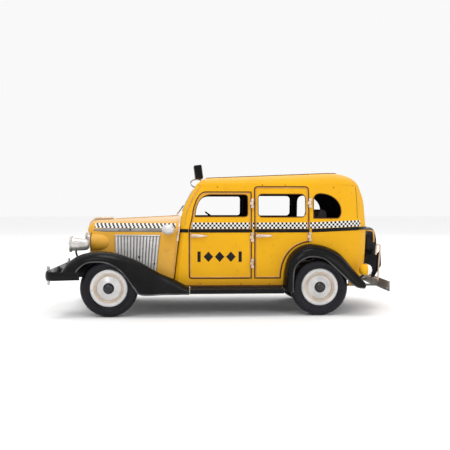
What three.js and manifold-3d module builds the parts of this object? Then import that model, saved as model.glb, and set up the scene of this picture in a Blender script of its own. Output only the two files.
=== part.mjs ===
// A pressed-tin toy taxi with a flywheel friction drive on its rear axle.
// Millimetres, +Z up. The origin is on the ground under the middle of the car.
// The nose points to -X, so -Y is the car's left side.
import * as THREE from "three";
import { mergeVertices } from "three/addons/utils/BufferGeometryUtils.js";
import Module from "manifold-3d";

const wasm = await Module();
wasm.setup();

// ---------- driving dimensions ----------
const SHEET = 0.8; // tin-plate thickness
const GAP = 0.3; // air between pieces that touch on the real car
const HALF_LENGTH = 160; // centre to the face of either bumper

const WHEEL_R = 26.5;
const TYRE_W = 14;
const TYRE_OUT_Y = 60; // outer face of a road tyre
const RIM_R = 17.6; // where the tyre meets its wheel disc
const FRONT_AXLE_X = -101.6;
const REAR_AXLE_X = 92.5;
const AXLE_R = 1.5;
const AXLE_HOLE_R = 1.9;
const AXLE_HALF = 58;
const HANGER_Y = 33; // middle of an axle hanger plate

const SILL_Z = 26;
const FLOOR_Z = 31;
const BELT_Z = 79.5;
const RAIL_Z = 121.5; // seam between the body sides and the roof panel
const CROWN = 10.7; // rise of the roof above its seam at mid length
const ROOF_SLOPE = 0.046; // the roof climbs towards the tail
const ROOF_MID_X = 52;
const CROWN_POWER = 2.3; // squareness of the roof's cross-section
const CROWN_FRONT_RUN = 15; // how far the roof's front edge leans back as it closes
const CROWN_REAR_RUN = 27;
const FRONT_CORNER_R = 6;
const REAR_CORNER_R = 20;
const FRONT_DEPTH = 4.5; // how much of the sides the cowl takes with it
const BACK_SEAM_X = 131; // where the sides end and the back panel starts
const FENDER_IN_Y = 49.5;
const FENDER_OUT_Y = 64;
const HINGE_OUT = 1.45; // hinge axis, out from the body skin
const HINGE_R = 1.15;
const PIN_R = 0.5;

const STEER_HUB = [-5.2, -21, 90.4];
const STEER_TILT = (35.5 * Math.PI) / 180;
const STEER_R = 1.1;

const PAINT = { color: 0xe0a31c, roughness: 0.45, metalness: 0.1 };
const BLACK = { color: 0x1d1e22, roughness: 0.42, metalness: 0.2 };
const SILVER = { color: 0xb9b6b0, roughness: 0.35, metalness: 0.85 };
const STEEL = { color: 0x8d8f92, roughness: 0.4, metalness: 0.9 };
const RUBBER = { color: 0x17181b, roughness: 0.7, metalness: 0 };
const TRIM = { color: 0x25211e, roughness: 0.75, metalness: 0 };
const BRASS = { color: 0xb08a4a, roughness: 0.4, metalness: 0.9 };
const LAMP = { color: 0xe9e4da, roughness: 0.2, metalness: 0 };

// ---------- solids ----------
function triangles(geometry) {
  const bare = geometry.index ? geometry.toNonIndexed() : geometry.clone();
  bare.deleteAttribute("normal");
  bare.deleteAttribute("uv");
  return mergeVertices(bare, 1e-4);
}

function solid(geometry) {
  const merged = triangles(geometry);
  const triVerts = new Uint32Array(merged.index.array);
  const build = () =>
    new wasm.Manifold(
      new wasm.Mesh({ numProp: 3, vertProperties: merged.attributes.position.array, triVerts }),
    );
  const made = build();
  if (made.volume() > 0) return made;
  for (let i = 0; i < triVerts.length; i += 3) {
    [triVerts[i + 1], triVerts[i + 2]] = [triVerts[i + 2], triVerts[i + 1]];
  }
  return build();
}

function geometryOf(made) {
  const mesh = made.getMesh();
  return new THREE.BufferGeometry()
    .setAttribute("position", new THREE.BufferAttribute(new Float32Array(mesh.vertProperties), 3))
    .setIndex(new THREE.BufferAttribute(new Uint32Array(mesh.triVerts), 1));
}

function mirrored(made) {
  return solid(geometryOf(made).scale(1, -1, 1));
}

function joined(pieces) {
  return pieces.reduce((a, b) => a.add(b));
}

function box(x0, x1, y0, y1, z0, z1) {
  const size = new THREE.BoxGeometry(x1 - x0, y1 - y0, z1 - z0);
  return solid(size.translate((x0 + x1) / 2, (y0 + y1) / 2, (z0 + z1) / 2));
}

// A side-view outline (x, z), run across the car from y0 to y1.
function prismY(shape, y0, y1, curveSegments = 4) {
  const run = new THREE.ExtrudeGeometry(shape, { depth: y1 - y0, bevelEnabled: false, curveSegments });
  return solid(run.rotateX(Math.PI / 2).translate(0, y1, 0));
}

// A front-view outline (y, z), run along the car from x0 to x1.
function prismX(shape, x0, x1, curveSegments = 4) {
  const run = new THREE.ExtrudeGeometry(shape, { depth: x1 - x0, bevelEnabled: false, curveSegments });
  const turn = new THREE.Matrix4().makeBasis(
    new THREE.Vector3(0, 1, 0),
    new THREE.Vector3(0, 0, 1),
    new THREE.Vector3(1, 0, 0),
  );
  return solid(run.applyMatrix4(turn).translate(x0, 0, 0));
}

// A closed profile of (radius, distance) turned about a line along X, Y or Z.
function turned(profile, axis, at, segments = 28) {
  const points = profile.map(([r, along]) => new THREE.Vector2(r, along));
  const spun = new THREE.LatheGeometry(points, segments);
  if (axis === "x") spun.rotateZ(-Math.PI / 2);
  if (axis === "z") spun.rotateX(Math.PI / 2);
  return solid(spun.translate(...at));
}

function rod(from, to, radius, sides = 12) {
  const a = new THREE.Vector3(...from);
  const b = new THREE.Vector3(...to);
  const length = a.distanceTo(b);
  const bar = new THREE.CylinderGeometry(radius, radius, length, sides).translate(0, length / 2, 0);
  const turn = new THREE.Quaternion().setFromUnitVectors(
    new THREE.Vector3(0, 1, 0),
    b.clone().sub(a).normalize(),
  );
  return solid(bar.applyQuaternion(turn).translate(...from));
}

// A bent wire of round section along a smooth curve through the points.
function wire(points, radius, steps = 24, sides = 8) {
  const path = new THREE.CatmullRomCurve3(
    points.map((p) => new THREE.Vector3(...p)),
    false,
    "centripetal",
  );
  const section = new THREE.Shape().absarc(0, 0, radius, 0, Math.PI * 2);
  const run = new THREE.ExtrudeGeometry(section, {
    steps,
    extrudePath: path,
    bevelEnabled: false,
    curveSegments: sides / 2,
  });
  return solid(run);
}

// Rings of equal point counts, skinned one to the next and closed by a flat cap at each end.
function skinned(rings) {
  const position = [];
  const face = (a, b, c) => position.push(...a, ...b, ...c);
  const count = rings[0].length;
  for (let i = 0; i + 1 < rings.length; i += 1) {
    for (let j = 0; j < count; j += 1) {
      const k = (j + 1) % count;
      face(rings[i][j], rings[i][k], rings[i + 1][k]);
      face(rings[i][j], rings[i + 1][k], rings[i + 1][j]);
    }
  }
  const centre = (ring) => [0, 1, 2].map((k) => ring.reduce((sum, p) => sum + p[k], 0) / count);
  const first = centre(rings[0]);
  const last = centre(rings[rings.length - 1]);
  for (let j = 0; j < count; j += 1) {
    const k = (j + 1) % count;
    face(first, rings[0][k], rings[0][j]);
    face(last, rings[rings.length - 1][j], rings[rings.length - 1][k]);
  }
  return solid(
    new THREE.BufferGeometry().setAttribute("position", new THREE.Float32BufferAttribute(position, 3)),
  );
}

// A grid of points thickened inwards into a plate of tin.
function plate(grid, thickness = SHEET) {
  const at = (i, j) => {
    const row = grid[Math.max(0, Math.min(grid.length - 1, i))];
    return new THREE.Vector3(...row[Math.max(0, Math.min(row.length - 1, j))]);
  };
  const back = grid.map((row, i) =>
    row.map((p, j) => {
      const along = at(i + 1, j).sub(at(i - 1, j));
      const across = at(i, j + 1).sub(at(i, j - 1));
      const normal = along.cross(across).normalize();
      return new THREE.Vector3(...p).addScaledVector(normal, thickness).toArray();
    }),
  );
  const rings = grid.map((row, i) => [...row, ...back[i].slice().reverse()]);
  return skinned(rings);
}

// ---------- outlines in side view ----------
function smoothStep(t) {
  const c = Math.max(0, Math.min(1, t));
  return c * c * (3 - 2 * c);
}

// Straight-line reading of a table of [height, value] stations.
function between(stations, z) {
  if (z <= stations[0][0]) return stations[0][1];
  for (let i = 1; i < stations.length; i += 1) {
    const [z1, v1] = stations[i];
    const [z0, v0] = stations[i - 1];
    if (z <= z1) return v0 + ((v1 - v0) * (z - z0)) / (z1 - z0);
  }
  return stations[stations.length - 1][1];
}

// Half width, front and rear of the cabin at a few heights.
const RAIL = { halfWidth: 44.6, front: -21.6, rear: 142.6 };
const HALF_WIDTH = [
  [SILL_Z, 47.6], [45, 48.4], [62, 48.9], [BELT_Z, 49], [95, 48], [108, 46.7], [RAIL_Z, RAIL.halfWidth],
];
const FRONT_X = [
  [SILL_Z, -43.6], [62, -39.6], [BELT_Z, -37.2], [95, -35], [108, -29.4], [RAIL_Z, RAIL.front],
];
const REAR_X = [
  [SILL_Z, 141.2], [45, 146.2], [62, 147.4], [BELT_Z, 147.8], [95, 146.8], [108, 146], [RAIL_Z, RAIL.rear],
];
const LEVELS = HALF_WIDTH.map(([z]) => z);
const CROWN_ANGLES = [18, 38, 60, 82];

// The body narrows a little towards the cowl.
function cowlTaper(x) {
  return 1 - 0.05 * smoothStep((-5 - x) / 34);
}

// One level line of the cabin, as a closed ring: a rectangle with round corners.
function levelLine(z, frontX, rearX, halfWidth, inset, cornerShare = 1) {
  const x0 = frontX + inset;
  const x1 = rearX - inset;
  const y = halfWidth - inset;
  const r0 = Math.min(FRONT_CORNER_R * cornerShare, y * 0.9);
  const r1 = Math.min(REAR_CORNER_R * cornerShare, y * 0.9);
  const half = [];
  const turn = (cx, cy, r, from, to, steps) => {
    for (let i = 0; i <= steps; i += 1) {
      const a = ((from + ((to - from) * i) / steps) * Math.PI) / 180;
      half.push([cx + r * Math.cos(a), cy + r * Math.sin(a)]);
    }
  };
  turn(x0 + r0, -(y - r0), r0, 180, 270, 2);
  const taperEnd = 0.22; // a point on the straight side, where the taper to the cowl begins
  half.push([x0 + r0 + (x1 - r1 - x0 - r0) * taperEnd, -y]);
  turn(x1 - r1, -(y - r1), r1, 270, 360, 4);
  const whole = [...half, ...half.map(([px, py]) => [px, -py]).reverse()];
  return whole.map(([px, py]) => {
    const lift = ROOF_SLOPE * (px - ROOF_MID_X) * Math.max(0, (z - RAIL_Z) / CROWN);
    return [px, py * cowlTaper(px), z + lift];
  });
}

function cabinForm(inset) {
  const rings = LEVELS.map((z, i) =>
    levelLine(
      i === 0 && inset > 0 ? z - 1 : z,
      between(FRONT_X, z),
      between(REAR_X, z),
      between(HALF_WIDTH, z),
      inset,
    ),
  );
  for (const degrees of CROWN_ANGLES) {
    const a = (degrees * Math.PI) / 180;
    const shrink = Math.cos(a) ** (2 / CROWN_POWER);
    const rise = Math.sin(a) ** (2 / CROWN_POWER);
    rings.push(
      levelLine(
        RAIL_Z + (CROWN - inset) * rise,
        RAIL.front + CROWN_FRONT_RUN * (1 - shrink),
        RAIL.rear - CROWN_REAR_RUN * (1 - shrink),
        RAIL.halfWidth * shrink + 0.4,
        inset,
        shrink + 0.1,
      ),
    );
  }
  return skinned(rings);
}

function roundedBox(x0, x1, z0, z1, r) {
  const s = new THREE.Shape();
  s.moveTo(x0 + r, z0);
  s.lineTo(x1 - r, z0);
  s.absarc(x1 - r, z0 + r, r, -Math.PI / 2, 0);
  s.lineTo(x1, z1 - r);
  s.absarc(x1 - r, z1 - r, r, 0, Math.PI / 2);
  s.lineTo(x0 + r, z1);
  s.absarc(x0 + r, z1 - r, r, Math.PI / 2, Math.PI);
  s.lineTo(x0, z0 + r);
  s.absarc(x0 + r, z0 + r, r, Math.PI, Math.PI * 1.5);
  return s;
}

const DOOR_BOTTOM = 33.5;
const FRONT_DOOR = { x0: -28.8, x1: 30.2, top: 115.2 };
const REAR_DOOR = { x0: 32.4, x1: 84.4, top: 120.2 };

// grow is how far the outline stands outside the door's nominal edge.
function frontDoorOutline(grow) {
  const { x0, x1, top } = FRONT_DOOR;
  const s = new THREE.Shape();
  s.moveTo(x1 + grow, DOOR_BOTTOM - grow);
  s.lineTo(x1 + grow, top + grow);
  s.lineTo(-13, top + grow);
  s.bezierCurveTo(-20, top + grow, -24.4 - grow, 104, -25.8 - grow, 93);
  s.bezierCurveTo(-26.6 - grow, 86, x0 - grow, 84, x0 - grow, 76);
  s.lineTo(x0 - grow, DOOR_BOTTOM + 3);
  s.quadraticCurveTo(x0 - grow, DOOR_BOTTOM - grow, x0 + 3, DOOR_BOTTOM - grow);
  return s;
}

// The rear door is cut away round the rear fender.
function rearDoorOutline(grow) {
  const { x0, x1, top } = REAR_DOOR;
  const s = new THREE.Shape();
  s.moveTo(x0 - grow, DOOR_BOTTOM - grow);
  s.lineTo(57.6 + grow, DOOR_BOTTOM - grow);
  s.bezierCurveTo(57.6 + grow, 54 - grow, 68 + grow, 66 - grow, x1 + grow, 67.6 - grow);
  s.lineTo(x1 + grow, top - 4);
  s.quadraticCurveTo(x1 + grow, top + grow, x1 - 4, top + grow);
  s.lineTo(x0 + 4, top + grow);
  s.quadraticCurveTo(x0 - grow, top + grow, x0 - grow, top - 4);
  return s;
}

function frontWindowOutline() {
  const s = new THREE.Shape();
  s.moveTo(-22.6, 91.6);
  s.lineTo(23.4, 91.6);
  s.quadraticCurveTo(26.4, 91.6, 26.4, 94.6);
  s.lineTo(26.4, 109.2);
  s.quadraticCurveTo(26.4, 112, 23.4, 112);
  s.lineTo(-8, 112.2);
  s.bezierCurveTo(-17, 112, -21.6, 105, -22.6, 91.6);
  return s;
}

function quarterWindowOutline() {
  const s = new THREE.Shape();
  s.moveTo(88.6, 90.2);
  s.lineTo(110.5, 90.2);
  s.bezierCurveTo(114, 90.2, 115.6, 96, 114, 101);
  s.bezierCurveTo(111.5, 109, 103, 113.4, 95, 113.4);
  s.bezierCurveTo(90.5, 113.4, 88.6, 110.5, 88.6, 106);
  return s;
}

// ---------- cabin panels ----------
const cabin = cabinForm(0).subtract(cabinForm(SHEET));
const roofZone = box(-60, 160, -60, 60, RAIL_Z + GAP / 2, 150);

// Everything within the given depth behind the slanting front of the cabin.
function frontZone(depth) {
  const s = new THREE.Shape();
  s.moveTo(-140, 10);
  s.lineTo(-140, RAIL_Z - GAP / 2);
  for (const [z, x] of FRONT_X.slice().reverse()) s.lineTo(x + depth, Math.min(z, RAIL_Z - GAP / 2));
  s.lineTo(FRONT_X[0][1] + depth, 10);
  return prismY(s, -60, 60);
}

const WHEEL_ARCH_R = 30.5;

function roofPanel() {
  return cabin.intersect(roofZone);
}

function backPanel() {
  const window = prismX(roundedBox(-19, 19, 95, 111, 4), 120, 160);
  const zone = box(BACK_SEAM_X + GAP / 2, 170, -60, 60, 10, RAIL_Z - GAP / 2).intersect(
    box(-60, 170, -44, 44, 10, 130).add(box(138, 170, -60, 60, 10, 130)),
  );
  return cabin.intersect(zone).subtract(window);
}

function cowl() {
  const opening = prismX(roundedBox(-36, 36, 97.5, 116.5, 3), -60, 0);
  const floorSlot = box(-60, -20, -36.4, 36.4, 20, FLOOR_Z + 1.5);
  return cabin.intersect(frontZone(FRONT_DEPTH)).subtract(opening).subtract(floorSlot).add(steeringBush());
}

// A block on the bulkhead that carries the foot of the steering column.
function steeringBush() {
  const [x, y, z] = STEER_HUB;
  const along = (t) => [x - t * Math.sin(STEER_TILT), y, z - t * Math.cos(STEER_TILT)];
  const block = box(-41, -27, y - 3, y + 3, 52, 60);
  return block.subtract(rod(along(20), along(80), STEER_R + 0.4, 10));
}

function sideZone() {
  const side = box(-60, BACK_SEAM_X - GAP / 2, -60, -20, 10, RAIL_Z - GAP / 2);
  return side.subtract(frontZone(FRONT_DEPTH + GAP));
}

// The fixed part of a body side: pillars, sill and rear quarter round the two door openings.
function sidePanel() {
  const arch = turned(
    [[0, -70], [WHEEL_ARCH_R, -70], [WHEEL_ARCH_R, -20], [0, -20]],
    "y",
    [REAR_AXLE_X, 0, WHEEL_R],
    20,
  );
  const skin = cabin
    .intersect(sideZone())
    .subtract(prismY(frontDoorOutline(GAP), -60, -20))
    .subtract(prismY(rearDoorOutline(GAP), -60, -20))
    .subtract(prismY(quarterWindowOutline(), -60, -20))
    .subtract(arch);
  return skin.add(pillar(FRONT_DOOR.x1 - 1.6, REAR_DOOR.x0 + 1.6)).add(pillar(82.6, 87.2, 66.5));
}

// A folded post behind the door edges, standing clear of the door skins.
function pillar(x0, x1, low = SILL_Z + 0.5) {
  const lip = 1.8;
  const post = box(x0, x1, -50, -30, low, RAIL_Z - 1).intersect(
    cabinForm(SHEET + GAP).subtract(cabinForm(SHEET + GAP + lip)),
  );
  const web = box(x0 + 1.9, x1 - 1.9, -50, -30, low, RAIL_Z - 1).intersect(
    cabinForm(0.2).subtract(cabinForm(SHEET + GAP + 0.5)),
  );
  return post.add(web);
}

// ---------- doors and their hinges ----------
function skinY(x, z) {
  return -between(HALF_WIDTH, z) * cowlTaper(x);
}

const HINGE_LENGTH = 8.5;
const FRONT_HINGES = { x: 30.3, y: -(49 + HINGE_OUT), heights: [48, 72.6, 104] };
const REAR_HINGES = { x: 84.5, y: -(49 + HINGE_OUT), heights: [73, 104.5] };

// Knuckles of one hinge, each a short barrel with a tab back to its panel.
function knuckle(hinge, z, length, side) {
  const barrel = rod([hinge.x, hinge.y, z - length / 2], [hinge.x, hinge.y, z + length / 2], HINGE_R, 6);
  const skin = skinY(hinge.x, z);
  const tab = box(
    Math.min(hinge.x, hinge.x + side * 1.9),
    Math.max(hinge.x, hinge.x + side * 1.9),
    hinge.y - 0.3,
    skin + (side < 0 ? 0.5 : -0.02 - GAP),
    z - length / 2,
    z + length / 2,
  );
  return barrel.add(tab);
}

// The fixed half of a door's hinges: the pin and the outer knuckles on it.
function hingePin(hinge) {
  const low = hinge.heights[0] - HINGE_LENGTH / 2;
  const high = hinge.heights[hinge.heights.length - 1] + HINGE_LENGTH / 2;
  const outer = (HINGE_LENGTH - 3.6) / 2;
  const knuckles = hinge.heights.flatMap((z) => [
    knuckle(hinge, z - HINGE_LENGTH / 2 + outer / 2, outer, 1),
    knuckle(hinge, z + HINGE_LENGTH / 2 - outer / 2, outer, 1),
  ]);
  return joined([rod([hinge.x, hinge.y, low], [hinge.x, hinge.y, high], PIN_R, 6), ...knuckles]);
}

function door(outline, windowOutline, hinge) {
  const skin = cabin
    .intersect(prismY(outline, -60, -20))
    .subtract(prismY(windowOutline, -60, -20));
  const knuckles = hinge.heights.map((z) => knuckle(hinge, z, 3, -1));
  const bore = rod([hinge.x, hinge.y, 20], [hinge.x, hinge.y, 130], PIN_R + 0.3, 6);
  return joined([skin, ...knuckles]).subtract(bore);
}

// A tapering lever handle on a short post.
function doorHandle(x) {
  const z = 75;
  const y = skinY(x, z);
  const lever = turned(
    [[0, 0], [1.2, 0.4], [1.75, 3], [1.1, 13], [0, 15.2]],
    "x",
    [x, y - 3, z],
    8,
  );
  return lever.add(rod([x + 2.6, y - 3, z], [x + 2.6, y - GAP, z], 1, 6));
}

// ---------- hood, radiator and lamps ----------
const HOOD_X0 = -121.5;
const HOOD_X1 = -37;
const HOOD_POINTS = 7;

// Half-width and height of the hood at a station along the car.
function hoodSize(x) {
  const t = Math.max(0, (x - HOOD_X0) / (HOOD_X1 - HOOD_X0));
  return { half: 29 + 16.6 * t ** 0.9, top: 89 + 4.2 * t, low: 56.5 - 23 * smoothStep(t * 1.15) };
}

// One cross-section of the hood, from the left lower edge over the top to the right one.
function hoodArch(x, grow) {
  const { half, top, low } = hoodSize(x);
  const w = half + grow;
  const foot = grow < 0 ? low - 3 : low;
  const shoulder = 74;
  const arch = [[-w * 0.985, foot], [-w, 62], [-w, shoulder]];
  for (let i = 1; i <= HOOD_POINTS; i += 1) {
    const a = (Math.PI * i) / (HOOD_POINTS + 1);
    const c = Math.cos(a);
    const s = Math.sin(a);
    const p = 2 / 2.5;
    arch.push([-w * Math.sign(c) * Math.abs(c) ** p, shoulder + (top + grow - shoulder) * s ** p]);
  }
  arch.push([w, shoulder], [w, 62], [w * 0.985, foot]);
  return arch.map(([y, z]) => [x, y, z]);
}

function hoodForm(x0, x1, grow) {
  const stations = 4;
  const rings = [];
  for (let i = 0; i <= stations; i += 1) rings.push(hoodArch(x0 + ((x1 - x0) * i) / stations, grow));
  return skinned(rings);
}

// A round-ended pod along each side of the nose.
function nosePod(side, r) {
  const end = 7;
  const profile = [[0, -14], [r, -14], [r, 0], [r * 0.86, end * 0.5], [r * 0.5, end * 0.87], [0, end]];
  const y = side * (hoodSize(-110).half - 3.4);
  return turned(profile, "x", [HOOD_X0 + 14.5, y, 67.2], 14);
}

function hood() {
  const outer = hoodForm(HOOD_X0, HOOD_X1 + 3, 0).add(nosePod(-1, 8.4)).add(nosePod(1, 8.4));
  const inner = hoodForm(HOOD_X0 - 1, HOOD_X1 + 5, -SHEET).add(nosePod(-1, 7.6)).add(nosePod(1, 7.6));
  return outer
    .subtract(inner)
    .intersect(frontZone(-GAP - 0.2))
    .subtract(box(-140, HOOD_X0, -60, 60, 0, 120))
    .subtract(underHood());
}

// The space under the hood's lower edges, following the fender tops.
function underHood() {
  const s = new THREE.Shape();
  s.moveTo(-140, 0);
  s.lineTo(-140, 56.8);
  s.lineTo(-100, 56.8);
  s.bezierCurveTo(-84, 55, -66, 43, -30, 28);
  s.lineTo(-30, 0);
  return prismY(s, -60, 60);
}

const LOUVRE_X0 = -98;
const LOUVRE_X1 = -56;
const LOUVRES = 14;

// The ribbed vent panel lying on the hood side.
function louvrePanel() {
  const s = new THREE.Shape();
  s.moveTo(LOUVRE_X0 - 1.4, 59.4);
  s.lineTo(LOUVRE_X1 - 4, 46.4);
  s.lineTo(LOUVRE_X1, 74.2);
  s.lineTo(LOUVRE_X0, 74.2);
  const band = (a, b) => hoodForm(HOOD_X0, HOOD_X1 - 1.5, b).subtract(hoodForm(HOOD_X0 - 1, HOOD_X1, a));
  const face = prismY(s, -60, -20);
  const backing = band(GAP, GAP + 0.8).intersect(face);
  const pitch = (LOUVRE_X1 - LOUVRE_X0) / LOUVRES;
  const ribs = [];
  for (let i = 0; i < LOUVRES; i += 1) {
    const x = LOUVRE_X0 + pitch * (i + 0.5);
    const lean = -3.2 * (i / LOUVRES);
    const rib = new THREE.Shape();
    rib.moveTo(x - 0.8 + lean, 40);
    rib.lineTo(x + 0.8 + lean, 40);
    rib.lineTo(x + 0.8, 73.4);
    rib.lineTo(x - 0.8, 73.4);
    ribs.push(prismY(rib, -60, -20));
  }
  return backing.add(band(GAP + 0.3, GAP + 1.6).intersect(joined(ribs)).intersect(face));
}

const NOSE_X = -127.6;

// The shell round the radiator, with the prow that overhangs it and the bars it holds.
function radiatorShell() {
  const side = new THREE.Shape();
  side.moveTo(HOOD_X0 - GAP, 36);
  side.lineTo(HOOD_X0 - GAP, 88.4);
  side.quadraticCurveTo(NOSE_X + 1, 89.2, NOSE_X, 84.4);
  side.lineTo(-123.6, 78);
  side.lineTo(-124.2, 36);
  const ring = hoodArch(HOOD_X0, -0.1).map(([, y, z]) => new THREE.Vector2(y, Math.max(z, 36)));
  const full = prismX(new THREE.Shape(ring), -140, -100);
  const window = prismX(roundedBox(-23, 23, 38.5, 76.5, 5), -140, -100, 3);
  const lower = prismX(roundedBox(-27.5, 27.5, 36, 70, 2), -140, -100, 1);
  return prismY(side, -40, 40).intersect(full.add(lower)).subtract(window).add(grille());
}

// Upright bars across the radiator opening, tied to its edges and by a cross rail.
function grille() {
  const bars = [];
  for (let i = -4; i <= 4; i += 1) {
    bars.push(box(-123.2, -122.2, i * 4.7 - 0.7, i * 4.7 + 0.7, 38, 77));
  }
  return joined([...bars, box(-122.8, -122.1, -24, 24, 57, 58.4)]);
}

// The bright strip that runs back from the prow along the middle of the hood.
function hoodStrip() {
  const s = new THREE.Shape();
  s.moveTo(-103.5, 91);
  s.lineTo(-103.5, 93);
  s.lineTo(-116, 93);
  s.quadraticCurveTo(-125, 92.4, -129.2, 85.6);
  s.lineTo(-128.4, 85);
  s.quadraticCurveTo(-125, 90.6, -116, 90.4);
  return prismY(s, -1.6, 1.6);
}

// Bucket, rim, lens and stay of one headlamp.
function headlamp() {
  const at = [-123.4, -43, 65.4];
  const profile = [[0, -15.4], [7, -16], [7.6, -15], [7, -13], [5.8, 0], [3.6, 2.4], [0, 3]];
  const bucket = turned(profile, "x", at, 16);
  const stay = rod([-134.5, -43, 60], [-133, -44, 54], 1.1, 8);
  return bucket.add(stay);
}

function cowlLamp() {
  const profile = [[0, -7], [2.4, -6.4], [4.2, -3.6], [4.5, -1], [3.8, 2.4], [2.2, 5], [0, 6.4]];
  const egg = turned(profile, "x", [-47.5, -50, 80.6], 12);
  const lip = rod([-47, -50, 80.6], [-47, -hoodSize(-47).half - GAP, 80.6], 1.1, 8);
  return egg.add(lip);
}

// ---------- fenders, running boards and bumpers ----------
const FRONT_CREST = [
  [-145.6, 41], [-139.2, 49.8], [-129, 56.4], [-119.4, 59], [-109.6, 60], [-97.8, 58.6],
  [-86, 55], [-75.5, 50.8], [-64.5, 44.6], [-54.6, 39.1], [-41.6, 33.6], [-28.2, 26.6],
];
const FRONT_LIP = [
  [-144.4, 37.2], [-133.6, 37.6], [-128.4, 44.6], [-121.2, 50], [-112, 51.2], [-101.6, 49.8],
  [-91.8, 44.4], [-84.6, 36.6], [-78, 27.4], [-71.6, 21.6], [-50, 21.6], [-28.2, 21.6],
];
const REAR_CREST = [
  [58.8, 22.6], [59.6, 32], [61, 43.6], [64.4, 54], [71.2, 61.6], [80, 65.6], [88.6, 66],
  [99, 63.8], [110.4, 58.6], [118.8, 50.4], [125.6, 42], [131.6, 35.4], [136.6, 29.6],
];
const REAR_LIP = [
  [66.8, 22.6], [66.8, 32], [68, 43.8], [72.4, 50.4], [78.4, 54], [84, 55.2], [89.6, 54.8],
  [97, 52.4], [107.8, 43.2], [116, 35.2], [121, 30.6], [127, 26.8], [133.6, 26],
];
const ROUNDING = [0, 20, 40, 60, 78, 90];

// Rows of points from the inner edge over the crest and down to the outer lip.
function fenderGrid(crest, lip, innerY, crestY, dip) {
  return crest.map(([cx, cz], i) => {
    const [lx, lz] = lip[i];
    const inner = innerY(cx);
    const row = [[cx, inner, cz - dip], [cx, (inner + crestY) / 2, cz - dip * 0.38]];
    for (const degrees of ROUNDING) {
      const a = (degrees * Math.PI) / 180;
      const down = 1 - Math.cos(a);
      row.push([
        cx + (lx - cx) * down,
        crestY + (-FENDER_OUT_Y - crestY) * Math.sin(a),
        cz + (lz - cz) * down,
      ]);
    }
    return row;
  });
}

function frontFender() {
  const inner = (x) => -Math.max(31, Math.min(49.4, hoodSize(Math.max(x, HOOD_X0)).half + GAP + 0.3));
  const trimmed = (x) => (x > HOOD_X1 - 2 ? -FENDER_IN_Y : inner(x));
  return plate(fenderGrid(FRONT_CREST, FRONT_LIP, trimmed, -52, 1.6));
}

function rearFender() {
  const inner = () => -FENDER_IN_Y;
  return plate(fenderGrid(REAR_CREST, REAR_LIP, inner, -51, 0));
}

function runningBoard() {
  const top = 26.4;
  const x0 = -27.9;
  const x1 = 58.2;
  const tread = box(x0, x1, -62.4, -45, top - 1, top - 0.2 - GAP);
  const lip = box(x0, x1, -63, -62.2, 21.6, top - 0.2 - GAP);
  return tread.add(lip);
}

const BUMPER_Z = [34.4, 42.4];

// A flat bar across the nose whose ends sweep back beside the front wheels, with two upright guards.
function frontBumper() {
  const bend = 9;
  const x0 = -HALF_LENGTH + 1.8;
  const outline = new THREE.Shape();
  outline.moveTo(-130, -66);
  outline.lineTo(x0 + bend, -66);
  outline.absarc(x0 + bend, -66 + bend, bend, -Math.PI / 2, -Math.PI, true);
  outline.lineTo(x0, 66 - bend);
  outline.absarc(x0 + bend, 66 - bend, bend, Math.PI, Math.PI / 2, true);
  outline.lineTo(-130, 66);
  outline.lineTo(-130, 64.8);
  outline.lineTo(x0 + bend, 64.8);
  outline.absarc(x0 + bend, 66 - bend, bend - 1.2, Math.PI / 2, Math.PI);
  outline.lineTo(x0 + 1.2, -66 + bend);
  outline.absarc(x0 + bend, -66 + bend, bend - 1.2, Math.PI, Math.PI * 1.5);
  outline.lineTo(-130, -64.8);
  const bar = solid(
    new THREE.ExtrudeGeometry(outline, {
      depth: BUMPER_Z[1] - BUMPER_Z[0],
      bevelEnabled: false,
      curveSegments: 4,
    }).translate(0, 0, BUMPER_Z[0]),
  );
  const guard = (y) => rod([x0 - 0.3, y, 30.4], [x0 - 0.3, y, 46.4], 1.5, 8);
  const iron = (y) => box(x0 + 1, -112, y - 1, y + 1, 32.5, 35.6);
  return joined([bar, guard(-48), guard(48), iron(-22), iron(22)]);
}

function rearBumper() {
  const x1 = HALF_LENGTH;
  const bar = box(x1 - 1.4, x1, -54, 54, 21.4, 31);
  const iron = (y) =>
    box(120, x1 - 1, y - 1.6, y + 1.6, 22.8, 25.4).add(box(120, 124, y - 1.6, y + 1.6, 22.8, 29));
  return joined([bar, iron(-FRAME_Y), iron(FRAME_Y)]);
}

// ---------- chassis, seats and steering ----------
const MOTOR_Y = 9;
const FRAME_Y = 24;

function chassis() {
  const floor = box(-118.6, 138, -36, 36, FLOOR_Z, FLOOR_Z + 1.2);
  const motorHole = box(56, 102.6, -MOTOR_Y - 3, MOTOR_Y + 3, FLOOR_Z - 1, FLOOR_Z + 3);
  const hanger = (x, y) => box(x - 6, x + 6, y - 0.6, y + 0.6, 20.5, FLOOR_Z + 0.5);
  const rail = (y) => box(-118.6, 136, y - 1, y + 1, FLOOR_Z - 1.6, FLOOR_Z + 0.5);
  const bore = (x) => rod([x, -50, WHEEL_R], [x, 50, WHEEL_R], AXLE_HOLE_R, 12);
  const solidFloor = joined([
    floor,
    rail(-FRAME_Y),
    rail(FRAME_Y),
    hanger(FRONT_AXLE_X, -HANGER_Y),
    hanger(FRONT_AXLE_X, HANGER_Y),
    hanger(REAR_AXLE_X, -HANGER_Y),
    hanger(REAR_AXLE_X, HANGER_Y),
  ]);
  return solidFloor.subtract(motorHole).subtract(bore(FRONT_AXLE_X)).subtract(bore(REAR_AXLE_X));
}

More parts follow.
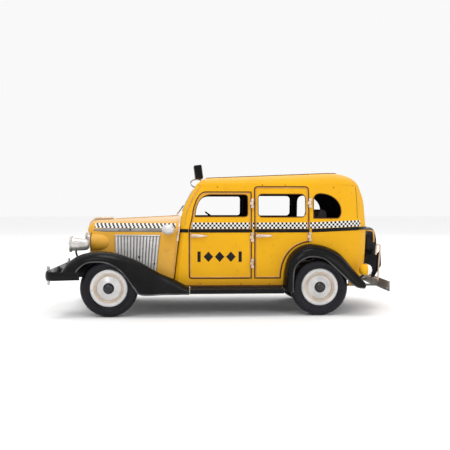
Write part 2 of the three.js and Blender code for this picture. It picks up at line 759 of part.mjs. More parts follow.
// A seat bent from one strip: front skirt, cushion, backrest and a hem folded down behind it.
function seat(x0, depth, top, halfWidth, baseZ) {
  const foot = FLOOR_Z + 1.2 + GAP;
  const t = 1.4;
  const s = new THREE.Shape();
  s.moveTo(x0, foot);
  s.lineTo(x0, baseZ - 3);
  s.quadraticCurveTo(x0, baseZ, x0 + 3, baseZ);
  s.lineTo(x0 + depth - 8, baseZ - 1);
  s.lineTo(x0 + depth - 5, top - 3);
  s.quadraticCurveTo(x0 + depth - 4, top, x0 + depth - 1, top);
  s.lineTo(x0 + depth + 2, top - 2);
  s.lineTo(x0 + depth + 3, top - 14);
  s.lineTo(x0 + depth + 3 - t, top - 14);
  s.lineTo(x0 + depth + 1, top - 3);
  s.lineTo(x0 + depth - 2.4, top - t - 0.6);
  s.lineTo(x0 + depth - 3.6, top - 4);
  s.lineTo(x0 + depth - 7, baseZ - 1 - t);
  s.lineTo(x0 + 3, baseZ - t);
  s.lineTo(x0 + t, baseZ - 4);
  s.lineTo(x0 + t, foot);
  return prismY(s, -halfWidth, halfWidth, 3);
}

// Wheel, three spokes and column, on an axis that leans back towards the driver.
function steering() {
  const rim = new THREE.TorusGeometry(9, 0.8, 6, 18);
  const column = new THREE.CylinderGeometry(STEER_R, STEER_R, 52, 8);
  column.rotateX(Math.PI / 2).translate(0, 0, -26);
  const spokes = [0, 1, 2].map((i) =>
    solid(
      new THREE.BoxGeometry(9, 1.1, 0.8)
        .translate(4.5, 0, 0)
        .rotateZ((i * Math.PI * 2) / 3),
    ),
  );
  const made = joined([solid(rim), solid(column), ...spokes]);
  return solid(geometryOf(made).rotateY(STEER_TILT).translate(...STEER_HUB));
}

// ---------- wheels and axles ----------
function tyre(x, z, outY, width, radius, rimR, segments = 24) {
  const h = width / 2;
  const profile = [
    [rimR, -h + 2.4], [rimR + 3, -h], [radius - 2.4, -h + 1.6], [radius, -h + 5],
    [radius, h - 5], [radius - 2.4, h - 1.6], [rimR + 3, h], [rimR, h - 2.4], [rimR, -h + 2.4],
  ];
  return turned(profile, "y", [x, -(outY - h), z], segments);
}

// A stepped pressed disc with its hub cap, bored from the back for the axle end.
function wheelDisc(x) {
  const r = RIM_R - GAP;
  const y = -(TYRE_OUT_Y - TYRE_W + 2.6);
  const profile = [
    [AXLE_HOLE_R, 0], [3.6, 0], [3.6, -5], [r, -5], [r, -9.6], [12.8, -9],
    [4.8, -10.4], [3.6, -13.4], [0, -14], [0, -11.4], [AXLE_HOLE_R, -11.4], [AXLE_HOLE_R, 0],
  ];
  return turned(profile.reverse(), "y", [x, y, WHEEL_R], 20);
}

function axle(x) {
  return rod([x, -AXLE_HALF, WHEEL_R], [x, AXLE_HALF, WHEEL_R], AXLE_R, 12);
}

// ---------- friction drive ----------
const MODULE = 0.9;
const DRIVE_TEETH = 20;
const PINION_TEETH = 8;
const IDLER_TEETH = 18;
const IDLER_AT = gearStep([REAR_AXLE_X, WHEEL_R], DRIVE_TEETH, PINION_TEETH, 158);
const FLYWHEEL_AT = gearStep(IDLER_AT, IDLER_TEETH, PINION_TEETH, 172);

// Centre of a gear that meshes with another, in the given direction seen from the right side.
function gearStep([x, z], teeth, mateTeeth, degrees) {
  const distance = (MODULE * (teeth + mateTeeth)) / 2;
  const a = (degrees * Math.PI) / 180;
  return [x + distance * Math.cos(a), z + distance * Math.sin(a)];
}

// Outline of a spur gear with a tooth centred on the given direction.
function gearShape(teeth, towards, [cx, cz]) {
  const pitchR = (MODULE * teeth) / 2;
  const s = new THREE.Shape();
  const corners = [[-0.27, -0.95], [-0.1, 0.75], [0.1, 0.75], [0.27, -0.95]];
  for (let i = 0; i < teeth; i += 1) {
    corners.forEach(([turn, height], k) => {
      const a = (towards * Math.PI) / 180 + ((i + turn) * 2 * Math.PI) / teeth;
      const r = pitchR + height * MODULE;
      const x = cx + r * Math.cos(a);
      const z = cz + r * Math.sin(a);
      if (i === 0 && k === 0) s.moveTo(x, z);
      else s.lineTo(x, z);
    });
  }
  return s;
}

// Half a tooth turns a tooth into a gap.
function gapTowards(teeth, degrees) {
  return degrees + 180 / teeth;
}

function shaft([x, z], y0, y1, radius) {
  return rod([x, y0, z], [x, y1, z], radius, 10);
}

function driveGear() {
  const gear = prismY(gearShape(DRIVE_TEETH, 158, [REAR_AXLE_X, WHEEL_R]), -6.5, -3.5);
  const boss = shaft([REAR_AXLE_X, WHEEL_R], -7.4, -1.5, 4);
  return gear.add(boss).subtract(shaft([REAR_AXLE_X, WHEEL_R], -20, 20, AXLE_HOLE_R));
}

function idlerGear() {
  const pinion = prismY(gearShape(PINION_TEETH, gapTowards(PINION_TEETH, 338), IDLER_AT), -7.4, -2.6);
  const wheel = prismY(gearShape(IDLER_TEETH, 172, IDLER_AT), -1.4, 1.2);
  const hub = shaft(IDLER_AT, -3, -1, 2.2);
  return joined([pinion, wheel, hub, shaft(IDLER_AT, -MOTOR_Y - 1.6, MOTOR_Y + 1.6, 1)]);
}

function flywheel() {
  const pinion = prismY(gearShape(PINION_TEETH, gapTowards(PINION_TEETH, 352), FLYWHEEL_AT), -2.4, 2.2);
  const disc = turned(
    [[0, 2], [10.2, 2], [10.2, 7.6], [0, 7.6]],
    "y",
    [FLYWHEEL_AT[0], 0, FLYWHEEL_AT[1]],
    24,
  );
  return joined([pinion, disc, shaft(FLYWHEEL_AT, -MOTOR_Y - 1.6, MOTOR_Y + 1.6, 1)]);
}

// Two side plates tied by spacers, hung from the floor round the rear axle.
function motorFrame() {
  const side = roundedBox(58.5, 100.5, 17.5, 44, 4);
  const cheek = (y) => prismY(side, y - 0.5, y + 0.5, 2);
  const spacer = (x, z) => rod([x, -MOTOR_Y, z], [x, MOTOR_Y, z], 1.2, 6);
  const foot = (y) => box(58.5, 100.5, y - 3.4, y + 3.4, FLOOR_Z + 1.2 + GAP, FLOOR_Z + 2.4 + GAP);
  const hole = ([x, z], r) => shaft([x, z], -20, 20, r);
  return joined([
    cheek(-MOTOR_Y),
    cheek(MOTOR_Y),
    spacer(61, 20),
    spacer(61, 41.4),
    spacer(98, 41.4),
    foot(-MOTOR_Y - 3),
    foot(MOTOR_Y + 3),
  ])
    .subtract(hole([REAR_AXLE_X, WHEEL_R], 4.6))
    .subtract(hole(IDLER_AT, 1.25))
    .subtract(hole(FLYWHEEL_AT, 1.25));
}

// ---------- roof sign, spare wheel, rack and tail lamps ----------
const SIGN_TILT = (-7 * Math.PI) / 180;

function roofSign() {
  const casing = new THREE.BoxGeometry(8.2, 32, 13.6).rotateY(SIGN_TILT).translate(-19.4, 0, 136.2);
  return solid(casing);
}

function signBracket() {
  const leg = (y) => [
    [-22.8, y, 121.2], [-26, y, 123.4], [-27, y, 126], [-25.4, y, 127.6], [-20.4, y, 128.1],
  ];
  return wire([...leg(-10), ...leg(10).reverse()], 0.5, 18, 4);
}

const SPARE = { x: 154, z: 62.4, r: 17.8, width: 9, rim: 11.2 };

function spareTyre() {
  const h = SPARE.width / 2;
  const { r, rim } = SPARE;
  const profile = [
    [rim, -h + 1], [r - 2.4, -h + 0.2], [r - 0.4, -h + 2.4], [r - 0.4, h - 2.4],
    [r - 2.4, h - 0.2], [rim, h - 1], [rim, -h + 1],
  ];
  return turned(profile, "x", [SPARE.x, 0, SPARE.z], 24);
}

function spareDisc() {
  const r = SPARE.rim - GAP;
  const profile = [[0, -4.4], [3, -4.4], [3, -1], [r, -1], [r, 1.6], [5, 3], [0, 4.2]];
  return turned(profile, "x", [SPARE.x, 0, SPARE.z], 20);
}

// A folding carrier: two black end plates tied by slats.
function luggageRack() {
  const end = new THREE.Shape();
  end.moveTo(149.4, 46.4);
  end.lineTo(149.4, 52);
  end.bezierCurveTo(152, 47.6, 154, 47, 156.4, 47.4);
  end.lineTo(159.6, 57.6);
  end.lineTo(159.8, 43.4);
  end.lineTo(152.6, 31.6);
  end.lineTo(149.8, 31.6);
  end.lineTo(151.4, 43);
  const cheek = (y) => prismY(end, y - 0.6, y + 0.6);
  const slats = [41.6, 36.4].map((z) => box(151.6, 153.6, -26, 26, z - 1.4, z + 1.4));
  const shelf = box(151, 158.6, -26, 26, 42.4, 43.4);
  return joined([cheek(-26), cheek(26), shelf, ...slats]);
}

// The bright rods at each side of the carrier, tied by one across.
function rackHoop() {
  const side = (y) => [
    [156.2, y, 28.6], [156.6, y, 40], [157.4, y, 52], [158.2, y, 62.6],
    [156.6, y, 64], [154.6, y, 63], [154, y, 54],
  ];
  const across = rod([156.2, -28.4, 30.2], [156.2, 28.4, 30.2], 0.7, 6);
  return joined([wire(side(-28.4), 0.8, 10, 6), wire(side(28.4), 0.8, 10, 6), across]);
}

function tailLamp() {
  const profile = [[0, -5], [3, -4.6], [4.6, -2], [5.2, 2], [5.4, 3.4], [4.4, 5], [2.4, 6.2], [0, 6.8]];
  const lamp = turned(profile, "x", [139.6, -52.6, 43.6], 12);
  return lamp.add(rod([137, -52.6, 43.6], [133.4, -50.6, 36.8], 1, 8));
}

// ---------- the car ----------
const car = new THREE.Group();

function place(name, made, look) {
  const mesh = new THREE.Mesh(geometryOf(made), new THREE.MeshStandardMaterial(look));
  mesh.name = name;
  car.add(mesh);
}

function placePair(name, left, look) {
  place(`${name}_left`, left, look);
  place(`${name}_right`, mirrored(left), look);
}

place("chassis", chassis(), BLACK);
place("cowl", cowl(), PAINT);
place("roof_panel", roofPanel(), PAINT);
place("back_panel", backPanel(), PAINT);
placePair("side_panel", sidePanel(), PAINT);
place("hood", hood(), PAINT);
placePair("louvre_panel", louvrePanel(), SILVER);
place("radiator_shell", radiatorShell(), PAINT);
place("hood_strip", hoodStrip(), SILVER);
placePair("headlamp", headlamp(), SILVER);
placePair("cowl_lamp", cowlLamp(), SILVER);
placePair("front_fender", frontFender(), BLACK);
placePair("rear_fender", rearFender(), BLACK);
placePair("running_board", runningBoard(), BLACK);
place("front_bumper", frontBumper(), BLACK);
place("rear_bumper", rearBumper(), SILVER);
place("front_seat", seat(4, 30, 86, 34, 56), TRIM);
place("rear_seat", seat(56.4, 44, 97.6, 36, 62), TRIM);
place("steering_wheel", steering(), TRIM);
placePair("front_door", door(frontDoorOutline(0), frontWindowOutline(), FRONT_HINGES), PAINT);
placePair("rear_door", door(rearDoorOutline(0), roundedBox(36.2, 81, 91.2, 113, 3.6), REAR_HINGES), PAINT);
placePair("front_door_handle", doorHandle(FRONT_DOOR.x0 + 1.4), SILVER);
placePair("rear_door_handle", doorHandle(REAR_DOOR.x0 + 1.2), SILVER);
placePair("front_hinge_pin", hingePin(FRONT_HINGES), SILVER);
placePair("rear_hinge_pin", hingePin(REAR_HINGES), SILVER);
place("front_axle", axle(FRONT_AXLE_X), STEEL);
place("rear_axle", axle(REAR_AXLE_X), STEEL);
for (const [end, x] of [["front", FRONT_AXLE_X], ["rear", REAR_AXLE_X]]) {
  placePair(`${end}_tyre`, tyre(x, WHEEL_R, TYRE_OUT_Y, TYRE_W, WHEEL_R, RIM_R), RUBBER);
  placePair(`${end}_wheel_disc`, wheelDisc(x), SILVER);
}
place("motor_frame", motorFrame(), STEEL);
place("drive_gear", driveGear(), BRASS);
place("idler_gear", idlerGear(), BRASS);
place("flywheel", flywheel(), STEEL);
place("roof_sign", roofSign(), BLACK);
place("sign_bracket", signBracket(), STEEL);
place("spare_tyre", spareTyre(), RUBBER);
place("spare_disc", spareDisc(), SILVER);
place("luggage_rack", luggageRack(), BLACK);
place("rack_hoop", rackHoop(), SILVER);
placePair("tail_lamp", tailLamp(), LAMP);

export default car;
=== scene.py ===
"""A pressed-tin toy taxi: the finished surfaces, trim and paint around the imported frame.

Shapes are worked out in millimetres and turned into metres when a mesh is made. The nose points to -X,
so -Y is the car's left side, which faces the camera.
"""

from __future__ import annotations

import logging
import math
import sys
from dataclasses import dataclass
from enum import Enum
from typing import Callable, Iterable, Sequence

import bmesh
import bpy
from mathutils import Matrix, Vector


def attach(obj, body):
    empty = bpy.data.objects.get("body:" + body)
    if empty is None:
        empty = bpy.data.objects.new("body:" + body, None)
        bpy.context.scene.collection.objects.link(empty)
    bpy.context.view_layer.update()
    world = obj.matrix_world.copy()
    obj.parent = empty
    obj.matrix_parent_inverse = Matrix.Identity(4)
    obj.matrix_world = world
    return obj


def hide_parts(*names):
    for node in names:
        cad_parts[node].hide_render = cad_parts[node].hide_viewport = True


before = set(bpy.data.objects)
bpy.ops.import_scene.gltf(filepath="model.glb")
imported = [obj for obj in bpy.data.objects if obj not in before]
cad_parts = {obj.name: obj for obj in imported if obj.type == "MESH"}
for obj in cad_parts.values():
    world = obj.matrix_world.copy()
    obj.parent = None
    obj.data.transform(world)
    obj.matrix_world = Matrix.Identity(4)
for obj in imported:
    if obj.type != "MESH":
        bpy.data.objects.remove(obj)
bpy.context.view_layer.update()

LOG = logging.getLogger("taxi")
MM = 0.001
SHEET = 0.8  # tin-plate thickness
SHARP = math.radians(38)  # edges steeper than this stay crisp

Pair = tuple[float, float]
Loop = list[Pair]
Colour = tuple[float, float, float, float]
Place = Callable[[float, float], Vector]
Shape = tuple[list[Vector], list[tuple[int, ...]]]

MERGE = 2e-6  # points closer than this, in metres, become one
FRONT_AXLE_X = -101.6
REAR_AXLE_X = 92.5
WHEEL_RADIUS = 26.5


class Side(Enum):
    """The two sides of the car."""

    LEFT = -1
    RIGHT = 1

    @property
    def word(self) -> str:
        """The side's name, as the nodes spell it."""
        return self.name.lower()


# ---------- numbers and lines ----------
def smooth_step(t: float) -> float:
    """A soft ramp from 0 to 1."""
    c = max(0.0, min(1.0, t))
    return c * c * (3 - 2 * c)


def along(stations: Sequence[Pair], at: float) -> float:
    """Reads a table of (position, value) stations along a smooth curve.

    Args:
        stations: positions in rising order, each with its value.
        at: where to read it.

    Returns:
        The value there, held level past either end.
    """
    if at <= stations[0][0]:
        return stations[0][1]
    if at >= stations[-1][0]:
        return stations[-1][1]
    last = len(stations) - 1
    i = next(k for k in range(last) if at <= stations[k + 1][0])

    def slope(k: int) -> float:
        """The slope of the curve at a station."""
        a, b = stations[max(0, k - 1)], stations[min(last, k + 1)]
        return (b[1] - a[1]) / (b[0] - a[0])

    (p0, v0), (p1, v1) = stations[i], stations[i + 1]
    h = p1 - p0
    t = (at - p0) / h
    return (v0 * (1 + 2 * t) * (1 - t) ** 2 + v1 * t * t * (3 - 2 * t) + slope(i) * h * t * (1 - t) ** 2 -
        slope(i + 1) * h * t * t * (1 - t))


def through(points: Sequence[Sequence[float]], steps: int, closed: bool = False) -> list[Vector]:
    """A smooth curve through points of any dimension.

    Args:
        points: the points that it passes.
        steps: how many short lines each span becomes.
        closed: whether it returns to its start.

    Returns:
        The points of the finer line.
    """
    knots = [Vector(p) for p in points]
    count = len(knots)
    spans = count if closed else count - 1

    def knot(i: int) -> Vector:
        """A knot, wrapped round or held at the ends."""
        return knots[i % count] if closed else knots[max(0, min(count - 1, i))]

    line = []
    for i in range(spans):
        a, b, c, d = knot(i - 1), knot(i), knot(i + 1), knot(i + 2)
        for k in range(steps):
            t = k / steps
            line.append(b + (c - a) * (0.5 * t) + (a * 2 - b * 5 + c * 4 - d) * (0.5 * t * t) +
                (b * 3 - a - c * 3 + d) * (0.5 * t**3))
    return line if closed else line + [knots[-1]]


class Outline:
    """A flat outline drawn with a pen, in (across, up) millimetres."""

    def __init__(self, x: float, z: float) -> None:
        """Puts the pen down at (x, z)."""
        self.points: Loop = [(x, z)]

    def line(self, x: float, z: float) -> "Outline":
        """Draws a straight line to (x, z)."""
        self.points.append((x, z))
        return self

    def bend(self, cx: float, cz: float, x: float, z: float, steps: int = 8) -> "Outline":
        """Draws one soft corner towards (cx, cz) that ends at (x, z).

        Args:
            cx: the centre or corner, across.
            cz: the centre or corner, up.
            x: where it ends, across.
            z: where it ends, up.
            steps: how many short lines it becomes.

        Returns:
            The pen.
        """
        return self.bezier(self.points[-1][0] + (cx - self.points[-1][0]) * 2 / 3,
            self.points[-1][1] + (cz - self.points[-1][1]) * 2 / 3, x + (cx - x) * 2 / 3,
            z + (cz - z) * 2 / 3, x, z, steps)

    def bezier(self, ax: float, az: float, bx: float, bz: float, x: float, z: float,
        steps: int = 16) -> "Outline":
        """Draws a curve with the handles a and b that ends at (x, z).

        Args:
            ax: the first handle, across.
            az: the first handle, up.
            bx: the second handle, across.
            bz: the second handle, up.
            x: where it ends, across.
            z: where it ends, up.
            steps: how many short lines it becomes.

        Returns:
            The pen.
        """
        x0, z0 = self.points[-1]
        for k in range(1, steps + 1):
            t = k / steps
            w = ((1 - t) ** 3, 3 * t * (1 - t) ** 2, 3 * t * t * (1 - t), t**3)
            self.points.append((w[0] * x0 + w[1] * ax + w[2] * bx + w[3] * x,
                w[0] * z0 + w[1] * az + w[2] * bz + w[3] * z))
        return self

    def arc(self, cx: float, cz: float, r: float, start: float, end: float, steps: int = 8) -> "Outline":
        """Draws part of a circle about (cx, cz), its angles in degrees.

        Args:
            cx: the centre or corner, across.
            cz: the centre or corner, up.
            r: the radius.
            start: the first angle.
            end: the last angle.
            steps: how many short lines it becomes.

        Returns:
            The pen.
        """
        for k in range(steps + 1):
            a = math.radians(start + (end - start) * k / steps)
            self.points.append((cx + r * math.cos(a), cz + r * math.sin(a)))
        return self


def rounded_box(x0: float, x1: float, z0: float, z1: float, r: float) -> Loop:
    """A rectangle with round corners."""
    pen = Outline(x0 + r, z0).arc(x1 - r, z0 + r, r, -90, 0).arc(x1 - r, z1 - r, r, 0, 90)
    return tidy_loop(pen.arc(x0 + r, z1 - r, r, 90, 180).arc(x0 + r, z0 + r, r, 180, 270).points)


def tidy_loop(loop: Loop) -> Loop:
    """The loop with no two neighbouring points in one place.

    Args:
        loop: the loop to work on.

    Returns:
        The loop.
    """
    kept: Loop = []
    for p in loop:
        if not kept or math.dist(p, kept[-1]) > 0.02:
            kept.append(p)
    if math.dist(kept[0], kept[-1]) < 0.02:
        kept.pop()
    return kept


def inset(loop: Loop, distance: float) -> Loop:
    """The loop moved inwards by a distance, or outwards by a negative one.

    Args:
        loop: the loop to work on.
        distance: how far to move it.

    Returns:
        The loop.
    """
    area = sum(a[0] * b[1] - b[0] * a[1] for a, b in zip(loop, loop[1:] + loop[:1]))
    turn = 1 if area > 0 else -1
    moved = []
    for i, p in enumerate(loop):
        a, b = Vector(loop[i - 1]), Vector(loop[(i + 1) % len(loop)])
        here = Vector(p)
        edges = [(here - a).normalized(), (b - here).normalized()]
        normals = [Vector((-e.y, e.x)) * turn for e in edges]
        middle = (normals[0] + normals[1]).normalized()
        reach = distance / max(0.35, middle.dot(normals[0]))
        moved.append(tuple(here + middle * reach))
    return moved


def dense(loop: Loop, step: float, closed: bool = True) -> Loop:
    """The loop with points added so that no side is longer than a step.

    Args:
        loop: the loop to work on.
        step: the longest side allowed.
        closed: whether it returns to its start.

    Returns:
        The loop.
    """
    out: Loop = []
    ends = loop[1:] + loop[:1] if closed else loop[1:]
    for a, b in zip(loop, ends):
        parts = max(1, math.ceil(math.dist(a, b) / step))
        out += [(a[0] + (b[0] - a[0]) * k / parts, a[1] + (b[1] - a[1]) * k / parts) for k in range(parts)]
    return out if closed else out + [loop[-1]]


# ---------- shader groups ----------
def socket(tree: bpy.types.NodeTree, name: str, kind: str, default: object = None, out: bool = False) -> None:
    """Adds one named input or output to a node group.

    Args:
        tree: the node tree.
        name: its name.
        kind: the type.
        default: its first value.
        out: whether it is an output.
    """
    made = tree.interface.new_socket(name=name, in_out="OUTPUT" if out else "INPUT", socket_type=kind)
    if default is not None:
        made.default_value = default


class Wiring:
    """Adds and joins nodes in one tree."""

    def __init__(self, tree: bpy.types.NodeTree) -> None:
        """Takes the tree to work in."""
        self.tree = tree

    def node(self, kind: str, **values: object) -> bpy.types.Node:
        """Adds a node and sets its plain properties.

        Args:
            kind: the type.
            values: its plain values, by name.

        Returns:
            The node.
        """
        made = self.tree.nodes.new(kind)
        for key, value in values.items():
            setattr(made, key, value)
        return made

    def put(self, target: bpy.types.NodeSocket, value: object) -> None:
        """Links a socket to an output, or sets its value.

        Args:
            target: the socket to fill.
            value: an output to link, or a plain value.
        """
        if isinstance(value, bpy.types.NodeSocket):
            self.tree.links.new(value, target)
        else:
            target.default_value = value

    def math(self, operation: str, a: object, b: object = 0.0, clamp: bool = False) -> bpy.types.NodeSocket:
        """One arithmetic step.

        Args:
            operation: what to do with them.
            a: the first value.
            b: the second value.
            clamp: whether the result stays from 0 to 1.

        Returns:
            The output to read.
        """
        made = self.node("ShaderNodeMath", operation=operation, use_clamp=clamp)
        self.put(made.inputs[0], a)
        self.put(made.inputs[1], b)
        return made.outputs[0]

    def mix(self, share: object, a: object, b: object, blend: str = "MIX") -> bpy.types.NodeSocket:
        """Mixes two colours.

        Args:
            share: how much of the second.
            a: the first value.
            b: the second value.
            blend: how they mix.

        Returns:
            The output to read.
        """
        made = self.node("ShaderNodeMix", data_type="RGBA", blend_type=blend)
        self.put(made.inputs[0], share)
        self.put(made.inputs[6], a)
        self.put(made.inputs[7], b)
        return made.outputs[2]

    def noise(self, at: object, scale: object, detail: float = 4.0) -> bpy.types.NodeSocket:
        """Cloudy noise, as a number.

        Args:
            at: the point or vector to read at.
            scale: how fine it is.
            detail: how many finer layers it has.

        Returns:
            The output to read.
        """
        made = self.node("ShaderNodeTexNoise")
        self.put(made.inputs["Vector"], at)
        self.put(made.inputs["Scale"], scale)
        made.inputs["Detail"].default_value = detail
        return made.outputs["Fac"]

    def ramp(self, value: object, low: object, high: object, to_low: object = 0.0,
        to_high: object = 1.0) -> bpy.types.NodeSocket:
        """Maps a range softly onto another.

        Args:
            value: the number to map.
            low: the lower limit.
            high: the upper limit.
            to_low: what the low end becomes.
            to_high: what the high end becomes.

        Returns:
            The output to read.
        """
        made = self.node("ShaderNodeMapRange", interpolation_type="SMOOTHSTEP")
        for name, given in zip(("Value", "From Min", "From Max", "To Min", "To Max"),
            (value, low, high, to_low, to_high)):
            self.put(made.inputs[name], given)
        return made.outputs[0]


class Groups:
    """The shader effects that several finishes share, each built once."""

    _made: dict[str, bpy.types.NodeTree] = {}

    @classmethod
    def clouds(cls) -> bpy.types.NodeTree:
        """Colour that drifts between a light and a dark tone, with darker specks of age.

        Returns:
            The tree.
        """
        if "clouds" not in cls._made:
            tree = bpy.data.node_groups.new("aged_colour", "ShaderNodeTree")
            for name, default in (("Base", None), ("Shade", None), ("Bright", None)):
                socket(tree, name, "NodeSocketColor", default)
            socket(tree, "Scale", "NodeSocketFloat", 40.0)
            socket(tree, "Age", "NodeSocketFloat", 0.3)
            socket(tree, "Colour", "NodeSocketColor", out=True)
            socket(tree, "Wear", "NodeSocketFloat", out=True)
            w = Wiring(tree)
            given = w.node("NodeGroupInput").outputs
            end = w.node("NodeGroupOutput")
            at = w.node("ShaderNodeTexCoord").outputs["Object"]
            broad = w.ramp(w.noise(at, given["Scale"]), 0.35, 0.7)
            tone = w.mix(broad, given["Base"], given["Bright"])
            specks = w.noise(at, w.math("MULTIPLY", given["Scale"], 7.0), 6.0)
            worn = w.math("MULTIPLY", w.ramp(specks, 0.56, 0.74), given["Age"], clamp=True)
            w.put(end.inputs["Colour"], w.mix(worn, tone, given["Shade"]))
            w.put(end.inputs["Wear"], worn)
            cls._made["clouds"] = tree
        return cls._made["clouds"]

    @classmethod
    def grain(cls) -> bpy.types.NodeTree:
        """Height and roughness of a hand-finished surface.

        Returns:
            The tree.
        """
        if "grain" not in cls._made:
            tree = bpy.data.node_groups.new("surface_grain", "ShaderNodeTree")
            for name, default in (("Scale", 300.0), ("Rough", 0.4), ("Spread", 0.1)):
                socket(tree, name, "NodeSocketFloat", default)
            socket(tree, "Height", "NodeSocketFloat", out=True)
            socket(tree, "Roughness", "NodeSocketFloat", out=True)
            w = Wiring(tree)
            given = w.node("NodeGroupInput").outputs
            end = w.node("NodeGroupOutput")
            at = w.node("ShaderNodeTexCoord").outputs["Object"]
            fine = w.noise(at, given["Scale"], 5.0)
            broad = w.noise(at, w.math("MULTIPLY", given["Scale"], 0.12), 3.0)
            swing = w.math("MULTIPLY", w.math("SUBTRACT", broad, 0.5),
                w.math("MULTIPLY", given["Spread"], 3.0))
            w.put(end.inputs["Height"], fine)
            w.put(end.inputs["Roughness"], w.math("ADD", given["Rough"], swing, clamp=True))
            cls._made["grain"] = tree
        return cls._made["grain"]

    @classmethod
    def check_band(cls) -> bpy.types.NodeTree:
        """A belt of small black and white squares at one height, with a mask of where it lies.

        Returns:
            The tree.
        """
        if "band" not in cls._made:
            tree = bpy.data.node_groups.new("chequered_band", "ShaderNodeTree")
            for name in ("Front", "Rear", "Low", "High", "Square", "Row", "Lean", "Lift"):
                socket(tree, name, "NodeSocketFloat", 0.0)
            socket(tree, "Mask", "NodeSocketFloat", out=True)
            socket(tree, "White", "NodeSocketFloat", out=True)
            w = Wiring(tree)
            given = w.node("NodeGroupInput").outputs
            end = w.node("NodeGroupOutput")
            split = w.node("ShaderNodeSeparateXYZ")
            w.put(split.inputs[0], w.node("ShaderNodeTexCoord").outputs["Object"])
            x = split.outputs["X"]
            lift = w.math("MULTIPLY", w.ramp(x, 0.078, 0.138), given["Lift"])
            z = w.math("SUBTRACT", split.outputs["Z"], lift)
            up = w.math("SUBTRACT", z, given["Low"])
            row = w.math("FLOOR", w.math("DIVIDE", up, given["Row"]))
            shift = w.math("MULTIPLY", w.math("MULTIPLY", row, given["Square"]), given["Lean"])
            run = w.math("SUBTRACT", x, shift)
            column = w.math("FLOOR", w.math("DIVIDE", run, given["Square"]))
            odd = w.math("PINGPONG", w.math("ADD", column, row), 1.0)
            inside = w.math("GREATER_THAN", z, given["Low"])
            for step in (w.math("LESS_THAN", z, given["High"]), w.math("GREATER_THAN", x, given["Front"]),
                w.math("LESS_THAN", x, given["Rear"])):
                inside = w.math("MULTIPLY", inside, step)
            w.put(end.inputs["Mask"], inside)
            w.put(end.inputs["White"], odd)
            cls._made["band"] = tree
        return cls._made["band"]


# ---------- finishes ----------
@dataclass(frozen=True)
class Band:
    """Where a finish carries the chequered band, in millimetres."""

    front: float
    rear: float
    low: float
    high: float
    square: float
    lean: float = 0.0
    lift: float = 0.0


